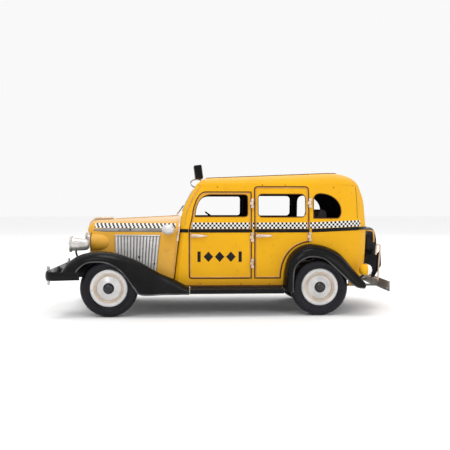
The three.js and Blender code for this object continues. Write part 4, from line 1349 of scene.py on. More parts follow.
@dataclass
class DoorShape:
    """One door leaf in side view, with its window, hinges and handle."""

    name: str
    x0: float
    x1: float
    top: float
    hinge_x: float
    hinge_heights: tuple[float, ...]
    handle_x: float
    handle_z: float = 73.8
    bottom: float = 33.5

    def outline(self, grow: float = 0.0) -> Loop:
        """The edge of the leaf, moved out by grow.

        Args:
            grow: how far it moves out.

        Returns:
            The loop.
        """
        x0, x1, top, low = self.x0 - grow, self.x1 + grow, self.top + grow, self.bottom - grow
        if self.name == "front":
            pen = Outline(x1, low).line(x1, top).line(-13, top)
            pen.bezier(-20, top, -24.4 - grow, 104, -25.8 - grow, 93)
            pen.bezier(-26.6 - grow, 86, x0, 84, x0, 76)
            return tidy_loop(pen.line(x0, self.bottom + 3).bend(x0, low, self.x0 + 3, low).points)
        pen = Outline(x0, low).line(57.6 + grow, low)
        pen.bezier(57.6 + grow, 54 - grow, 68 + grow, 66 - grow, x1, 67.6 - grow)
        pen.line(x1, self.top - 4).bend(x1, top, self.x1 - 4, top)
        return tidy_loop(pen.line(self.x0 + 4, top).bend(x0, top, x0, self.top - 4).points)

    def window(self) -> Loop:
        """The edge of the window opening.

        Returns:
            The loop.
        """
        if self.name == "rear":
            return rounded_box(36.4, 80.6, 91.4, 112.6, 3.8)
        pen = Outline(-22.6, 91.8).line(23.2, 91.8).bend(26.2, 91.8, 26.2, 94.8)
        pen.line(26.2, 109.0).bend(26.2, 112, 23.2, 112).line(-8, 112)
        return tidy_loop(pen.bezier(-17, 111.8, -21.6, 105, -22.6, 91.8).points)


FRONT_DOOR = DoorShape("front", -28.8, 30.2, 115.2, 30.3, (48, 72.6, 104), -27.4)
REAR_DOOR = DoorShape("rear", 32.4, 84.4, 120.2, 84.5, (73, 104.5), 33.6)
HINGE_OUT = 1.45
HINGE_Y = 49 + HINGE_OUT


def quarter_window() -> Loop:
    """The edge of the quarter window behind the rear door.

    Returns:
        The loop.
    """
    pen = Outline(88.8, 90.4).line(110.3, 90.4).bezier(113.8, 90.4, 115.2, 96, 113.6, 101)
    pen.bezier(111.2, 109, 103, 113, 95, 113)
    return tidy_loop(pen.bezier(90.7, 113, 88.8, 110.5, 88.8, 106).points)


@dataclass
class Cabin:
    """The fixed tin of the cabin: sides, cowl, back and roof, with their mouldings."""

    belt_z: float = 78.5
    belt_radius: float = 1.75
    arch_radius: float = 30.5
    rear_axle: Pair = (REAR_AXLE_X, WHEEL_RADIUS)

    def build(self) -> None:
        """Makes every fixed panel and moulding."""
        self.roof()
        self.back()
        self.cowl()
        for side in Side:
            self.side_panel(side)
            self.side_trim(side)

    def side_panel(self, side: Side) -> None:
        """The sill, pillars and rear quarter, round the two doors and the quarter window.

        Args:
            side: which side of the car.
        """
        shell = SHELL
        cx, cz = self.rear_axle
        dip = math.degrees(math.asin((cz - shell.sill) / self.arch_radius))
        front = [(along(shell.fronts, z) + shell.cowl_depth, z) for z in self._levels()]
        pen = Outline(*front[0])
        pen.arc(cx, cz, self.arch_radius, 180 + dip, -dip, 28)
        pen.line(shell.back_seam, shell.sill).line(shell.back_seam, shell.rail)
        outline = pen.points + list(reversed(front[1:]))
        holes = [FRONT_DOOR.outline(0.12), REAR_DOOR.outline(0.12), quarter_window()]
        obj = filled(f"side_skin_{side.word}", outline, holes, lambda x, z: shell.side(x, z, side),
            Vector((0, side.value, 0)), PAINT, LINING)
        finish_piece(obj, "car", [f"side_panel_{side.word}"])

    @staticmethod
    def _levels() -> list[float]:
        """Heights at which the slanting front edge is read."""
        return [26, 35, 45, 54, 62, 70, 79.5, 87, 95, 101, 108, 115, 121.5]

    def side_trim(self, side: Side) -> None:
        """Belt moulding, seam beads, window rim and posts of one side.

        Args:
            side: which side of the car.
        """
        shell = SHELL
        lines = [self.belt_line(side, along(shell.fronts, self.belt_z) + 1.2, FRONT_DOOR.x0 - 0.4),
            self.belt_line(side, REAR_DOOR.x1 + 2.2, shell.back_seam + 0.5)]
        obj = swept(f"belt_moulding_{side.word}", lines, self.belt_radius, BLACK, 16)
        finish_piece(self.pressed(obj, side), "car")
        # The rims, seams, sill line and pin heads below are dark umber, partly joints and partly painted
        # shade; the cowl seam's lighter tan is a painted highlight
        rim = [shell.side(x, z, side, 0.05) for x, z in dense(inset(quarter_window(), -0.35), 2.5)]
        run_trim(f"quarter_rim_{side.word}", rim, 0.38, DARK_JOINT_AND_SHADE, 8, closed=True)
        seam = [shell.side(along(shell.fronts, z) + shell.cowl_depth + 0.1, z, side, -0.1) for z in range(84,
            121, 3)]
        run_trim(f"cowl_seam_{side.word}", seam, 0.45, BEAD, 8)
        corner = [shell.side(shell.back_seam + 0.1, z, side, -0.1) for z in range(90, 121, 2)]
        run_trim(f"back_seam_{side.word}", corner, 0.3, DARK_JOINT_AND_SHADE, 8)
        sill = [shell.side(x, shell.sill + 0.9, side, 0.1) for x in range(-40, 63, 4)]
        run_trim(f"sill_bead_{side.word}", sill, 0.7, DARK_JOINT_AND_SHADE, 8)
        facing = Vector((0, side.value, 0))
        spots = [(shell.side(x, z, side, 0.0), facing) for x,
            z in ((-2, 119.4), (40.5, 121.4), (62, 121.2), (108, 119), (20, 28.6), (-18, 28.8), (47, 28.4))]
        finish_piece(studded(f"body_pins_{side.word}", spots, 0.55, DARK_JOINT_AND_SHADE, 0.5), "car")
        self._posts(side)

    def belt_line(self, side: Side, x0: float, x1: float) -> tuple[list[Vector], bool]:
        """One stretch of the belt moulding's line.

        Args:
            side: which side of the car.
            x0: the low end along the car.
            x1: the high end along the car.

        Returns:
            The line, and that it is open.
        """
        count = max(2, round((x1 - x0) / 3))
        stations = [x0 + (x1 - x0) * k / count for k in range(count + 1)]
        return [SHELL.side(x, self.belt_z + belt_rise(x), side, -0.3) for x in stations], False

    @staticmethod
    def pressed(obj: bpy.types.Object, side: Side, depth: float = 0.55) -> bpy.types.Object:
        """Presses a round moulding flatter against the skin behind it.

        Args:
            obj: the object.
            side: which side of the car.
            depth: how much of the height off the skin is kept.

        Returns:
            The object.
        """
        for v in obj.data.vertices:
            x, y, z = v.co / MM
            skin = abs(SHELL.side(x, max(26.0, min(121.5, z)), side).y)
            v.co.y = side.value * (skin + (abs(y) - skin) * depth) * MM
        return obj

    def _posts(self, side: Side) -> None:
        """The posts that show inside the cabin between the windows.

        Args:
            side: which side of the car.
        """
        parts = []
        for x0, x1, low in ((28.4, 34.4, 27.0), (82.6, 87.4, 67.0)):
            rows = [low + (120 - low) * k / 20 for k in range(21)]
            ring = []
            for z in rows:
                skin = abs(SHELL.side((x0 + x1) / 2, z).y) - 1.15
                ring.append([Vector((x0, side.value * skin, z)), Vector((x1, side.value * skin, z)),
                    Vector((x1 - 0.5, side.value * (skin - 2), z)),
                    Vector((x0 + 0.5, side.value * (skin - 2), z))])
            points = [p for row in ring for p in row]
            faces = grid_faces(len(ring), 4, wrap=True) + [(3, 2, 1, 0)]
            last = len(points) - 4
            faces.append((last, last + 1, last + 2, last + 3))
            parts.append((points, faces))
        finish_piece(joined_mesh(f"door_posts_{side.word}", parts, LINING), "car")

    def back(self) -> None:
        """The rounded back panel with its window, and the belt that runs round it."""
        levels = SHELL
        edge = 54.0
        outline = [(-edge, levels.sill), (edge, levels.sill), (edge, levels.rail), (-edge, levels.rail)]
        window = rounded_box(-18.5, 18.5, 95, 111, 4)
        obj = filled("back_skin", outline, [window], levels.back, Vector((1, 0, 0)), PAINT, LINING,
            cell=(3, 4))
        finish_piece(obj, "car", ["back_panel"])
        belt = [levels.back(u * 1.5, self.belt_z + belt_rise(levels.back(u * 1.5, 79).x),
            0.2) for u in range(-36, 37)]
        run_trim("back_belt", belt, 1.5, BLACK, 14)
        # the window rim's lighter tan is a painted highlight on its raised edge
        rim = [levels.back(u, z, 0.1) for u, z in dense(window, 2.5)]
        run_trim("back_window_rim", rim, 0.6, BEAD, 8, closed=True)

    def cowl(self) -> None:
        """The windshield frame and bulkhead, with the bright frame round the glass opening."""
        shell = SHELL
        edge = 48.0
        outline = [(-edge, shell.sill), (edge, shell.sill), (edge, shell.rail), (-edge, shell.rail)]
        opening = rounded_box(-37.4, 37.4, 97.8, 116.4, 3)
        obj = filled("cowl_skin", outline, [opening], shell.front, Vector((-1, 0, 0)), PAINT, LINING,
            cell=(4, 4))
        finish_piece(obj, "car", ["cowl"])
        rim = [shell.front(u, z, 0.3) for u, z in dense(inset(opening, -0.6), 2.5)]
        run_trim("windshield_frame", rim, 0.75, PLATED, 10, closed=True)
        for side in Side:
            post = [shell.front(side.value * 47.6, z, 0.25) for z in range(96, 120, 2)]
            run_trim(f"screen_post_{side.word}", post, 0.6, BEAD, 8)
        arms = []
        for y in (-30.0, 12.0):
            arms.append(([Vector((-40.6, y, 93.4)), Vector((-37.4, y, 97.8)), Vector((-34.2, y, 102.4))],
                False))
        finish_piece(swept("screen_wipers", arms, 0.55, PLATED, 8), "car")

    def roof(self) -> None:
        """The crowned roof, with the seam of its raised middle panel."""
        steps = 26
        top = 88.5
        angles = [top * (k / steps) ** 1.15 for k in range(steps + 1)]
        rings = [SHELL.roof_ring(a) for a in angles]
        count = len(rings[0])
        points = [p for ring in rings for p in ring]
        faces = grid_faces(len(rings), count, wrap=True)
        last = (len(rings) - 1) * count
        half = count // 2
        for j in range(half - 1):
            faces.append((last + j, last + j + 1, last + count - 2 - j, last + count - 1 - j))
        obj = new_object("roof_skin", points, faces, PAINT, LINING)
        face_outwards(obj, False, Vector((0, 0, 1)))
        finish_piece(thickened(obj), "car", ["roof_panel"])
        # the roof seam's dark line is partly the joint and partly painted shade
        seam = SHELL.roof_ring(62.0)
        bead = [p + Vector((0, 0, 0.1)) for p in seam]
        run_trim("roof_seam", bead, 0.55, DARK_JOINT_AND_SHADE, 8, closed=True)


@dataclass
class Door:
    """One hinged door leaf with all that moves with it."""

    shape: DoorShape
    side: Side
    cabin: Cabin

    @property
    def body(self) -> str:
        """The body that the leaf is."""
        return f"door_{self.shape.name}_{self.side.word}"

    def build(self) -> None:
        """Makes the leaf, its beads and belt, its handle and its hinges."""
        shape, side = self.shape, self.side
        key = f"{shape.name}_{side.word}"
        edge = shape.outline(-0.12)
        leaf = filled(f"door_skin_{key}", edge, [shape.window()], self.on_skin, Vector((0, side.value, 0)),
            PAINT, LINING)
        finish_piece(leaf, self.body, [f"{shape.name}_door_{side.word}"])
        # A dark line inside the leaf's edge, partly the joint and partly painted shade beside the bead; the
        # bead in lighter tan is a painted highlight
        edge_shade_line = [self.on_skin(x, z, -0.12) for x, z in dense(inset(edge, 0.55), 2.5)]
        run_trim(f"door_wash_{key}", edge_shade_line, 0.56, DARK_JOINT_AND_SHADE, 8, closed=True, body=self.body)
        bead = [self.on_skin(x, z, 0.0) for x, z in dense(inset(edge, 1.5), 2.5)]
        run_trim(f"door_bead_{key}", bead, 0.54, BEAD, 10, closed=True, body=self.body)
        # the window's dark rim: partly its edge, partly painted shade
        rim = [self.on_skin(x, z, -0.05) for x, z in dense(inset(shape.window(), -0.25), 2.5)]
        run_trim(f"window_rim_{key}", rim, 0.38, DARK_JOINT_AND_SHADE, 8, closed=True, body=self.body)
        belt = swept(f"door_belt_{key}", [self.cabin.belt_line(side, shape.x0 + 0.2, shape.x1 - 0.2)],
            self.cabin.belt_radius, BLACK, 16)
        finish_piece(self.cabin.pressed(belt, side), self.body)
        self.handle(key)
        self.hinges(key)
        if shape.name == "front":
            self.marking(key)

    def on_skin(self, x: float, z: float, out: float = 0.0) -> Vector:
        """A point of this side's skin."""
        return SHELL.side(x, z, self.side, out)

    def handle(self, key: str) -> None:
        """A lever that swells behind its post and thins to a tip.

        Args:
            key: the door's or wheel's place, as it ends the names.
        """
        x, z = self.shape.handle_x, self.shape.handle_z
        y = self.side.value * (abs(self.on_skin(x, z).y) + 2.9)
        profile = round_profile([(0, 0), (1.3, 0.5), (1.85, 3.2), (1.5, 8), (1.0, 13), (0.5, 15.6), (0, 16)],
            4)
        lever = spun(profile, Axis.X, (x, y, z), 24)
        post = spun([(0, 0), (1.5, 0), (1.3, 0.5), (0.8, 0.9), (0.8, 2.9), (0, 2.9)], Axis.Y, (x + 2.6, 0, z),
            20)
        root = abs(self.on_skin(x + 2.6, z).y)
        stem = [Vector((p.x, self.side.value * (root + p.y), p.z)) for p in post[0]]
        obj = joined_mesh(f"handle_{key}", [lever, (stem, post[1])], ROSE)
        finish_piece(obj, self.body, [f"{self.shape.name}_door_handle_{self.side.word}"])

    def _barrel(self, z0: float, z1: float, r: float) -> Shape:
        """One knuckle of a hinge.

        Args:
            z0: the lower end.
            z1: the upper end.
            r: the radius.

        Returns:
            The points and faces.
        """
        lip = 0.18
        profile = [(0, z0), (r - lip, z0), (r, z0 + lip), (r, z1 - lip), (r - lip, z1), (0, z1)]
        return spun(profile, Axis.Z, (self.shape.hinge_x, self.side.value * HINGE_Y, 0), 18)

    def _strap(self, z0: float, z1: float, reach: float) -> Shape:
        """A hinge strap from the knuckle to the skin.

        Args:
            z0: the lower end.
            z1: the upper end.
            reach: how far the strap runs along the car.

        Returns:
            The points and faces.
        """
        x = self.shape.hinge_x
        skin = min(abs(self.on_skin(x + reach, z).y) for z in (z0, z1))
        y0, y1 = sorted((self.side.value * (skin - 0.1), self.side.value * (HINGE_Y + 0.2)))
        xs = sorted((x, x + reach))
        return box_points(xs[0], xs[1], y0, y1, z0, z1)

    def hinges(self, key: str) -> None:
        """The leaf's middle knuckles, and the pin and outer knuckles that stay with the body.

        Args:
            key: the door's or wheel's place, as it ends the names.
        """
        moving, fixed = [], []
        for z in self.shape.hinge_heights:
            moving += [self._barrel(z - 1.5, z + 1.5, 1.15), self._strap(z - 1.5, z + 1.5, -1.9)]
            for low, high in ((z - 4.25, z - 1.8), (z + 1.8, z + 4.25)):
                fixed += [self._barrel(low, high, 1.15), self._strap(low, high, 1.7)]
            fixed.append(self._barrel(z - 4.6, z + 4.6, 0.5))
        finish_piece(joined_mesh(f"hinge_leaf_{key}", moving, ROSE), self.body)
        finish_piece(joined_mesh(f"hinge_fixed_{key}", fixed, ROSE), "car",
            [f"{self.shape.name}_hinge_pin_{self.side.word}"])

    def marking(self, key: str) -> None:
        """A plain row of diamonds and bars on the front door, in place of lettering.

        Args:
            key: the door's or wheel's place, as it ends the names.
        """
        low, high = 49.4, 59.2
        middle = (low + high) / 2
        loops: list[Loop] = []
        for cx in (-10.5, 0.0, 10.5):
            loops.append([(cx, low), (cx + 4.4, middle), (cx, high), (cx - 4.4, middle)])
        for cx in (-19.2, 19.2):
            loops.append([(cx - 1.5, low), (cx + 1.5, low), (cx + 1.5, high), (cx - 1.5, high)])
        parts = []
        for loop in loops:
            parts.append(slab(dense(loop, 2.0), lambda x, z, out: self.on_skin(x, z, out), -0.2, 0.09))
        finish_piece(joined_mesh(f"door_marking_{key}", parts, MARK), self.body)


# ---------- the nose ----------
CREST: tuple[Pair, ...] = ((-145.6, 41), (-139.2, 49.8), (-129, 56.4), (-119.4, 59), (-109.6, 60),
    (-97.8, 58.6), (-86, 55), (-75.5, 50.8), (-64.5, 44.6), (-54.6, 39.1), (-41.6, 33.6), (-28.2, 26.6))


@dataclass
class Nose:
    """Hood, radiator, louvres and their bright trim."""

    x0: float = -121.5
    x1: float = -37.0
    shoulder: float = 74.0
    top: float = 87.6
    power: float = 2.5
    prow: float = -127.6

    def build(self) -> None:
        """Makes every piece ahead of the cowl."""
        self.hood()
        self.radiator()
        self.strip()
        for side in Side:
            self.pod(side)
            self.moulding(side)
            self.louvres(side)

    def size(self, x: float) -> tuple[float, float, float]:
        """Half width, top and lower edge of the hood at a station.

        Args:
            x: where along the car.

        Returns:
            The three sizes.
        """
        t = max(0.0, (x - self.x0) / (self.x1 - self.x0))
        low = along(CREST, x) - 2.4
        return 29 + 16.6 * t**0.9, self.top + 4.4 * t, low

    def side_y(self, x: float, z: float) -> float:
        """Half width of the hood at a station and height.

        Args:
            x: where along the car.
            z: the height.

        Returns:
            The value, in millimetres.
        """
        half, top, _ = self.size(x)
        if z <= self.shoulder:
            return half * (1 - 0.015 * max(0.0, (62 - z) / 28))
        rise = min(1.0, (z - self.shoulder) / (top - self.shoulder))
        return half * (1 - rise**self.power) ** (1 / self.power)

    def on_side(self, x: float, z: float, side: Side, out: float = 0.0) -> Vector:
        """A point of the hood's side."""
        return Vector((x, side.value * (self.side_y(x, z) + out), z))

    def arch(self, x: float, grow: float = 0.0, low: float | None = None) -> list[Vector]:
        """One cross-section, from the left lower edge over the top to the right one.

        Args:
            x: where along the car.
            grow: how far it moves out.
            low: its lower edge, where the hood's own is not wanted.

        Returns:
            The points, in order.
        """
        half, top, foot = self.size(x)
        foot = foot if low is None else low
        left = []
        for k in range(10):
            z = foot + (self.shoulder - foot) * k / 10
            left.append((-(self.side_y(x, z) + grow), z))
        count = 22
        for k in range(count + 1):
            a = math.pi / 2 * k / count
            c = math.cos(a) ** (2 / self.power)
            s = math.sin(a) ** (2 / self.power)
            left.append((-(half + grow) * c, self.shoulder + (top + grow - self.shoulder) * s))
        whole = left + [(-y, z) for y, z in reversed(left[:-1])]
        return [Vector((x, y, z)) for y, z in whole]

    def hood(self) -> None:
        """The folded hood, drawn back to the slanting cowl."""
        stations = 44
        rows = []
        for i in range(stations + 1):
            t = i / stations
            x = self.x0 + (self.x1 - self.x0) * t
            row = []
            for p in self.arch(x):
                shift = (along(SHELL.fronts, p.z) - 0.4 - self.x1) * t**4
                row.append(Vector((p.x + shift, p.y, p.z)))
            rows.append(row)
        obj = sheet("hood_skin", rows, Vector((0, 0, 1)), HOOD_PAINT, LINING)
        finish_piece(obj, "car", ["hood"])
        # the hinge bead and the rear beads carry the lighter tan of a painted highlight
        top = [Vector((x, 0, self.size(x)[1] + 0.05)) for x in range(-102, -38, 3)]
        run_trim("hood_hinge", top, 0.7, BEAD, 10)
        for side in Side:
            edge = []
            for z in range(36, 93, 3):
                x = along(SHELL.fronts, z) - 0.7
                edge.append(Vector((x, side.value * (self.side_y(min(x, self.x1), z) + 0.5), z)))
            finish_piece(swept(f"hood_rear_bead_{side.word}", [(edge[:13], False)], 0.8, BEAD, 10), "car")
            finish_piece(swept(f"hood_strap_{side.word}", [(edge[11:], False)], 1.05, ROSE, 12), "car")

    def pod(self, side: Side) -> None:
        """The round-ended pod beside the radiator that the headlamp backs onto.

        Args:
            side: which side of the car.
        """
        flat = [(0, -0.2), (8.0, -0.2), (8.5, 0.3)]
        swell = [(8.6, 3), (8.6, 7), (8.3, 10.5), (7.5, 14), (6.0, 17.4), (3.8, 20.2), (1.6, 21.9), (0, 22.4)]
        profile = flat + round_profile(swell, 3)
        obj = turned(f"nose_pod_{side.word}", profile, Axis.X, (self.x0 - 0.1, side.value * 27.4, 67.4),
            HOOD_PAINT, 56)
        finish_piece(obj, "car")
        # the pod's dark rim is partly the joint and partly painted shade
        ring = [Vector((self.x0 + 0.2, side.value * 27.4 + 8.5 * math.cos(a / 28 * math.pi),
            67.4 + 8.5 * math.sin(a / 28 * math.pi))) for a in range(56)]
        run_trim(f"pod_rim_{side.word}", ring, 0.45, DARK_JOINT_AND_SHADE, 8, closed=True)

    def moulding(self, side: Side) -> None:
        """The bright strip under the chequered band, with its screws.

        Args:
            side: which side of the car.
        """
        low, high = 77.3, 80.8
        rows = []
        for i in range(31):
            x = -119.5 + (-43.0 + 119.5) * i / 30
            fade = min(1.0, 0.35 + i / 6)
            middle = (low + high) / 2
            row = []
            for k in range(9):
                share = -1 + 2 * k / 8
                z = middle + share * (high - low) / 2 * fade
                row.append(self.on_side(x, z, side, 0.15 + 0.75 * math.sqrt(max(0.0, 1 - share * share))))
            rows.append(row)
        obj = sheet(f"hood_moulding_{side.word}", rows, Vector((0, side.value, 0)), DULL, DULL, 0.4)
        finish_piece(obj, "car")
        facing = Vector((0, side.value, 0.1)).normalized()
        spots = [(self.on_side(-83.9, 79.2, side, 0.9), facing)]
        finish_piece(studded(f"hood_screw_{side.word}", spots, 0.95, BLACK, 0.45), "car")

    def louvres(self, side: Side) -> None:
        """A ribbed vent panel along the hood side, as deep as the fender lets it show.

        Args:
            side: which side of the car.
        """
        x0, x1, top = -98.6, -55.6, 73.9
        count = 14

        def foot(x: float) -> float:
            """The panel's lower edge, just inside the fender."""
            return along(CREST, x) - 2.0

        def lean(x: float, z: float) -> float:
            """A station slanted back as the height falls."""
            share = (x - x0) / (x1 - x0)
            return x - (3.6 * share - 0.4) * (top - z) / 30

        rows = []
        for i in range(37):
            x = x0 + (x1 - x0) * i / 36
            rows.append([self.on_side(lean(x, z), z, side,
                0.75) for z in (foot(x) + (top - foot(x)) * k / 8 for k in range(9))])
        plate = sheet(f"louvre_back_{side.word}", rows, Vector((0, side.value, 0)), DULL, DULL, 0.7)
        finish_piece(plate, "car", [f"louvre_panel_{side.word}"])
        ribs = []
        pitch = (x1 - x0) / count
        for i in range(count):
            x = x0 + pitch * (i + 0.5)
            line = []
            for k in range(10):
                z = foot(x) + (top - 0.9 - foot(x)) * k / 9
                line.append(self.on_side(lean(x, z), z, side, 0.75))
            ribs.append((line, False))
        finish_piece(swept(f"louvre_ribs_{side.word}", ribs, 1.12, SILVER, 12), "car")
        edge = [self.on_side(x0 + (x1 - x0) * k / 24, top + 0.1, side, 0.8) for k in range(25)]
        run_trim(f"louvre_top_{side.word}", edge, 0.5, SILVER, 8)
        facing = Vector((0, side.value, 0))
        spots = [(self.on_side(-60.6, 47.4, side, 1.5), facing),
            (self.on_side(-75.5, 53.6, side, 1.5), facing)]
        finish_piece(studded(f"louvre_screws_{side.word}", spots, 1.0, BLACK, 0.5), "car")

    def radiator(self) -> None:
        """The shell round the radiator, with its prow, core and upright bars."""
        rows = []
        steps = 14
        for i in range(steps + 1):
            t = i / steps
            x = self.x0 - 0.1 + (self.prow - self.x0) * t
            drop = 6.5 * t**2.2
            row = []
            for p in self.arch(self.x0, -0.1 - 0.9 * t * t, low=40.0):
                share = max(0.0, (p.z - self.shoulder) / (self.top - self.shoulder))
                back = (1 - share) * 4.6 * t
                row.append(Vector((x + back, p.y * (1 - 0.05 * t * t), p.z - drop * share)))
            rows.append(row)
        inner = [Vector((-122.4, p.y * 0.84, min(p.z - 1.4, 78.5))) for p in rows[-1]]
        rows.append([a.lerp(b, 0.35) for a, b in zip(rows[-1], inner)])
        rows.append(inner)
        obj = sheet("radiator_skin", rows, Vector((-0.4, 0, 1)), HOOD_PAINT, LINING, 0.6)
        finish_piece(obj, "car", ["radiator_shell"])
        core = box_points(-121.9, -121.2, -25, 25, 38, 79)
        finish_piece(joined_mesh("radiator_core", [core], LINING, 0.2), "car")
        bars = []
        for i in range(-5, 6):
            y = i * 4.1
            bars.append(([Vector((-122.9, y, z)) for z in (38.5, 52, 66, 78.4)], False))
        bars.append(([Vector((-122.6, y, 57.7)) for y in (-24, 0, 24)], False))
        finish_piece(swept("radiator_bars", bars, 0.62, PLATED, 10), "car")
        frame_line = [Vector((-123.1, y, z)) for y, z in dense(rounded_box(-24.5, 24.5, 38.2, 78.6, 5), 3)]
        run_trim("radiator_frame", frame_line, 0.9, PLATED, 10, closed=True)

    def strip(self) -> None:
        """The bright strip that runs back from the prow along the hood's middle."""
        spine = through([(-128.2, 82.2), (-126.6, 85.2), (-124, 87.7), (-120.5, 89.1), (-115, 89.5),
            (-109, 89.6), (-103.6, 89.5)], 5)
        rows = []
        for i, p in enumerate(spine):
            t = i / (len(spine) - 1)
            width = 1.7 * min(1.0, 0.45 + 3 * t)
            ring = []
            for k in range(14):
                a = 2 * math.pi * k / 14
                ring.append(Vector((p.x, width * math.cos(a), p.y + 1.4 * math.sin(a))))
            rows.append(ring)
        points = [p for row in rows for p in row]
        faces = grid_faces(len(rows), 14, wrap=True)
        last = len(points) - 14
        faces += [tuple(range(13, -1, -1)), tuple(range(last, last + 14))]
        obj = joined_mesh("hood_spear", [(points, faces)], ROSE)
        finish_piece(obj, "car", ["hood_strip"])


# ---------- lamps ----------
@dataclass
class Lamps:
    """Headlamps, cowl lamps and tail lamps."""

    head: tuple[float, float, float] = (-123.6, 43.0, 65.6)
    cowl: tuple[float, float, float] = (-47.5, 50.0, 79.8)
    tail: tuple[float, float, float] = (135.4, 52.8, 42.0)

    def build(self) -> None:
        """Makes every lamp on both sides."""
        for side in Side:
            self.headlamp(side)
            self.cowl_lamp(side)
            self.tail_lamp(side)

    def headlamp(self, side: Side) -> None:
        """A flared bucket with a rolled rim and a domed lens.

        Args:
            side: which side of the car.
        """
        x, y, z = self.head
        at = (x, side.value * y, z)
        bucket = [(0, 2.8), (1.6, 2.7), (3.6, 2.0), (4.8, 0.4), (5.5, -3), (6.0, -8), (6.4, -12.6)]
        rim = [(6.6, -13.2), (7.4, -13.6), (7.7, -14.4), (7.4, -15.2), (6.7, -15.4), (6.3, -14.6), (0, -14.5)]
        shell = spun(round_profile(bucket, 3) + rim, Axis.X, at, 56, tilt=-3)
        stay = [Vector((-133.6, side.value * 43, 60.4)), Vector((-133.2, side.value * 43.3, 57.4)),
            Vector((-132.0, side.value * 44, 54.4))]
        obj = joined_mesh(f"headlamp_shell_{side.word}", [shell], PLATED)
        finish_piece(obj, "car", [f"headlamp_{side.word}"])
        run_trim(f"headlamp_stay_{side.word}", stay, 0.9, BLACK, 10)
        lens = [(6.4, -14.4), (5.6, -15.0), (4, -15.6), (2, -15.95), (0, -16.05)]
        glass = turned(f"headlamp_lens_{side.word}", lens + [(0, -14.2), (6.4, -14.2), (6.4, -14.4)], Axis.X,
            at, GLASS, 48, tilt=-3)
        finish_piece(glass, "car")

    def cowl_lamp(self, side: Side) -> None:
        """An egg-shaped side lamp on a short post.

        Args:
            side: which side of the car.
        """
        x, y, z = self.cowl
        at = (x, side.value * y, z)
        egg = round_profile([(0, -6.4), (2.6, -5.6), (4.2, -3.2), (4.7, -0.2), (4.3, 2.6), (2.8, 5.0),
            (0, 6.3)], 5)
        body = spun(egg, Axis.X, at, 40)
        band = spun([(4.2, -2.9), (4.75, -2.6), (4.75, -2.0), (4.2, -1.8), (4.2, -2.9)], Axis.X, at, 40)
        obj = joined_mesh(f"cowl_lamp_shell_{side.word}", [body, band], SILVER)
        finish_piece(obj, "car", [f"cowl_lamp_{side.word}"])
        root = NOSE.side_y(x, z) - 0.3
        post = [Vector((x + 0.5, side.value * k, z)) for k in (root, (root + y) / 2, y - 2)]
        run_trim(f"cowl_lamp_post_{side.word}", post, 1.1, PLATED, 10)

    def tail_lamp(self, side: Side) -> None:
        """A yellow cup with a white lens, on a bent stalk.

        Args:
            side: which side of the car.
        """
        x, y, z = self.tail
        at = (x, side.value * y, z)
        cup = round_profile([(0, -4.4), (2.8, -4.0), (4.6, -2.2), (5.2, 0.2), (5.3, 1.4)], 4)
        lip = [(5.5, 1.9), (5.5, 2.5), (5.0, 2.6), (0, 2.5)]
        finish_piece(turned(f"tail_lamp_cup_{side.word}", cup + lip, Axis.X, at, PAINT, 44), "car",
            [f"tail_lamp_{side.word}"])
        lens = [(5.0, 2.6), (4.9, 4.0), (4.2, 5.6), (3.0, 6.7), (1.5, 7.3), (0, 7.5), (0, 2.4), (5.0, 2.4),
            (5.0, 2.6)]
        finish_piece(turned(f"tail_lamp_lens_{side.word}", lens, Axis.X, at, GLASS, 40), "car")
        stalk = [Vector((x + 0.5, side.value * y, z - 4.4)), Vector((x - 1.2, side.value * (y - 0.6), z - 6)),
            Vector((x - 4.4, side.value * (y - 2), z - 8.6))]
        run_trim(f"tail_lamp_stalk_{side.word}", stalk, 0.8, BLACK, 10)


# ---------- fenders, running boards and bumpers ----------
FRONT_LIP: tuple[Pair, ...] = ((-144.4, 37.2), (-133.6, 37.6), (-128.4, 44.6), (-121.2, 50), (-112, 51.2),
    (-101.6, 49.8), (-91.8, 44.4), (-84.6, 36.6), (-78, 27.4), (-71.6, 21.2), (-50, 21.4), (-28.2, 21.6))
REAR_CREST: tuple[Pair, ...] = ((58.8, 22.6), (59.6, 32), (61, 43.6), (64.4, 54), (71.2, 61.6), (80, 65.6),
    (88.6, 66), (99, 63.8), (110.4, 58.6), (118.8, 50.4), (125.6, 42), (131.6, 35.4), (136.6, 29.6))
REAR_LIP: tuple[Pair, ...] = ((66.8, 22.6), (66.8, 32), (68, 43.8), (72.4, 50.4), (78.4, 54), (84, 55.2),
    (89.6, 54.8), (97, 52.4), (107.8, 43.2), (116, 35.2), (121, 30.6), (127, 26.8), (133.6, 26))


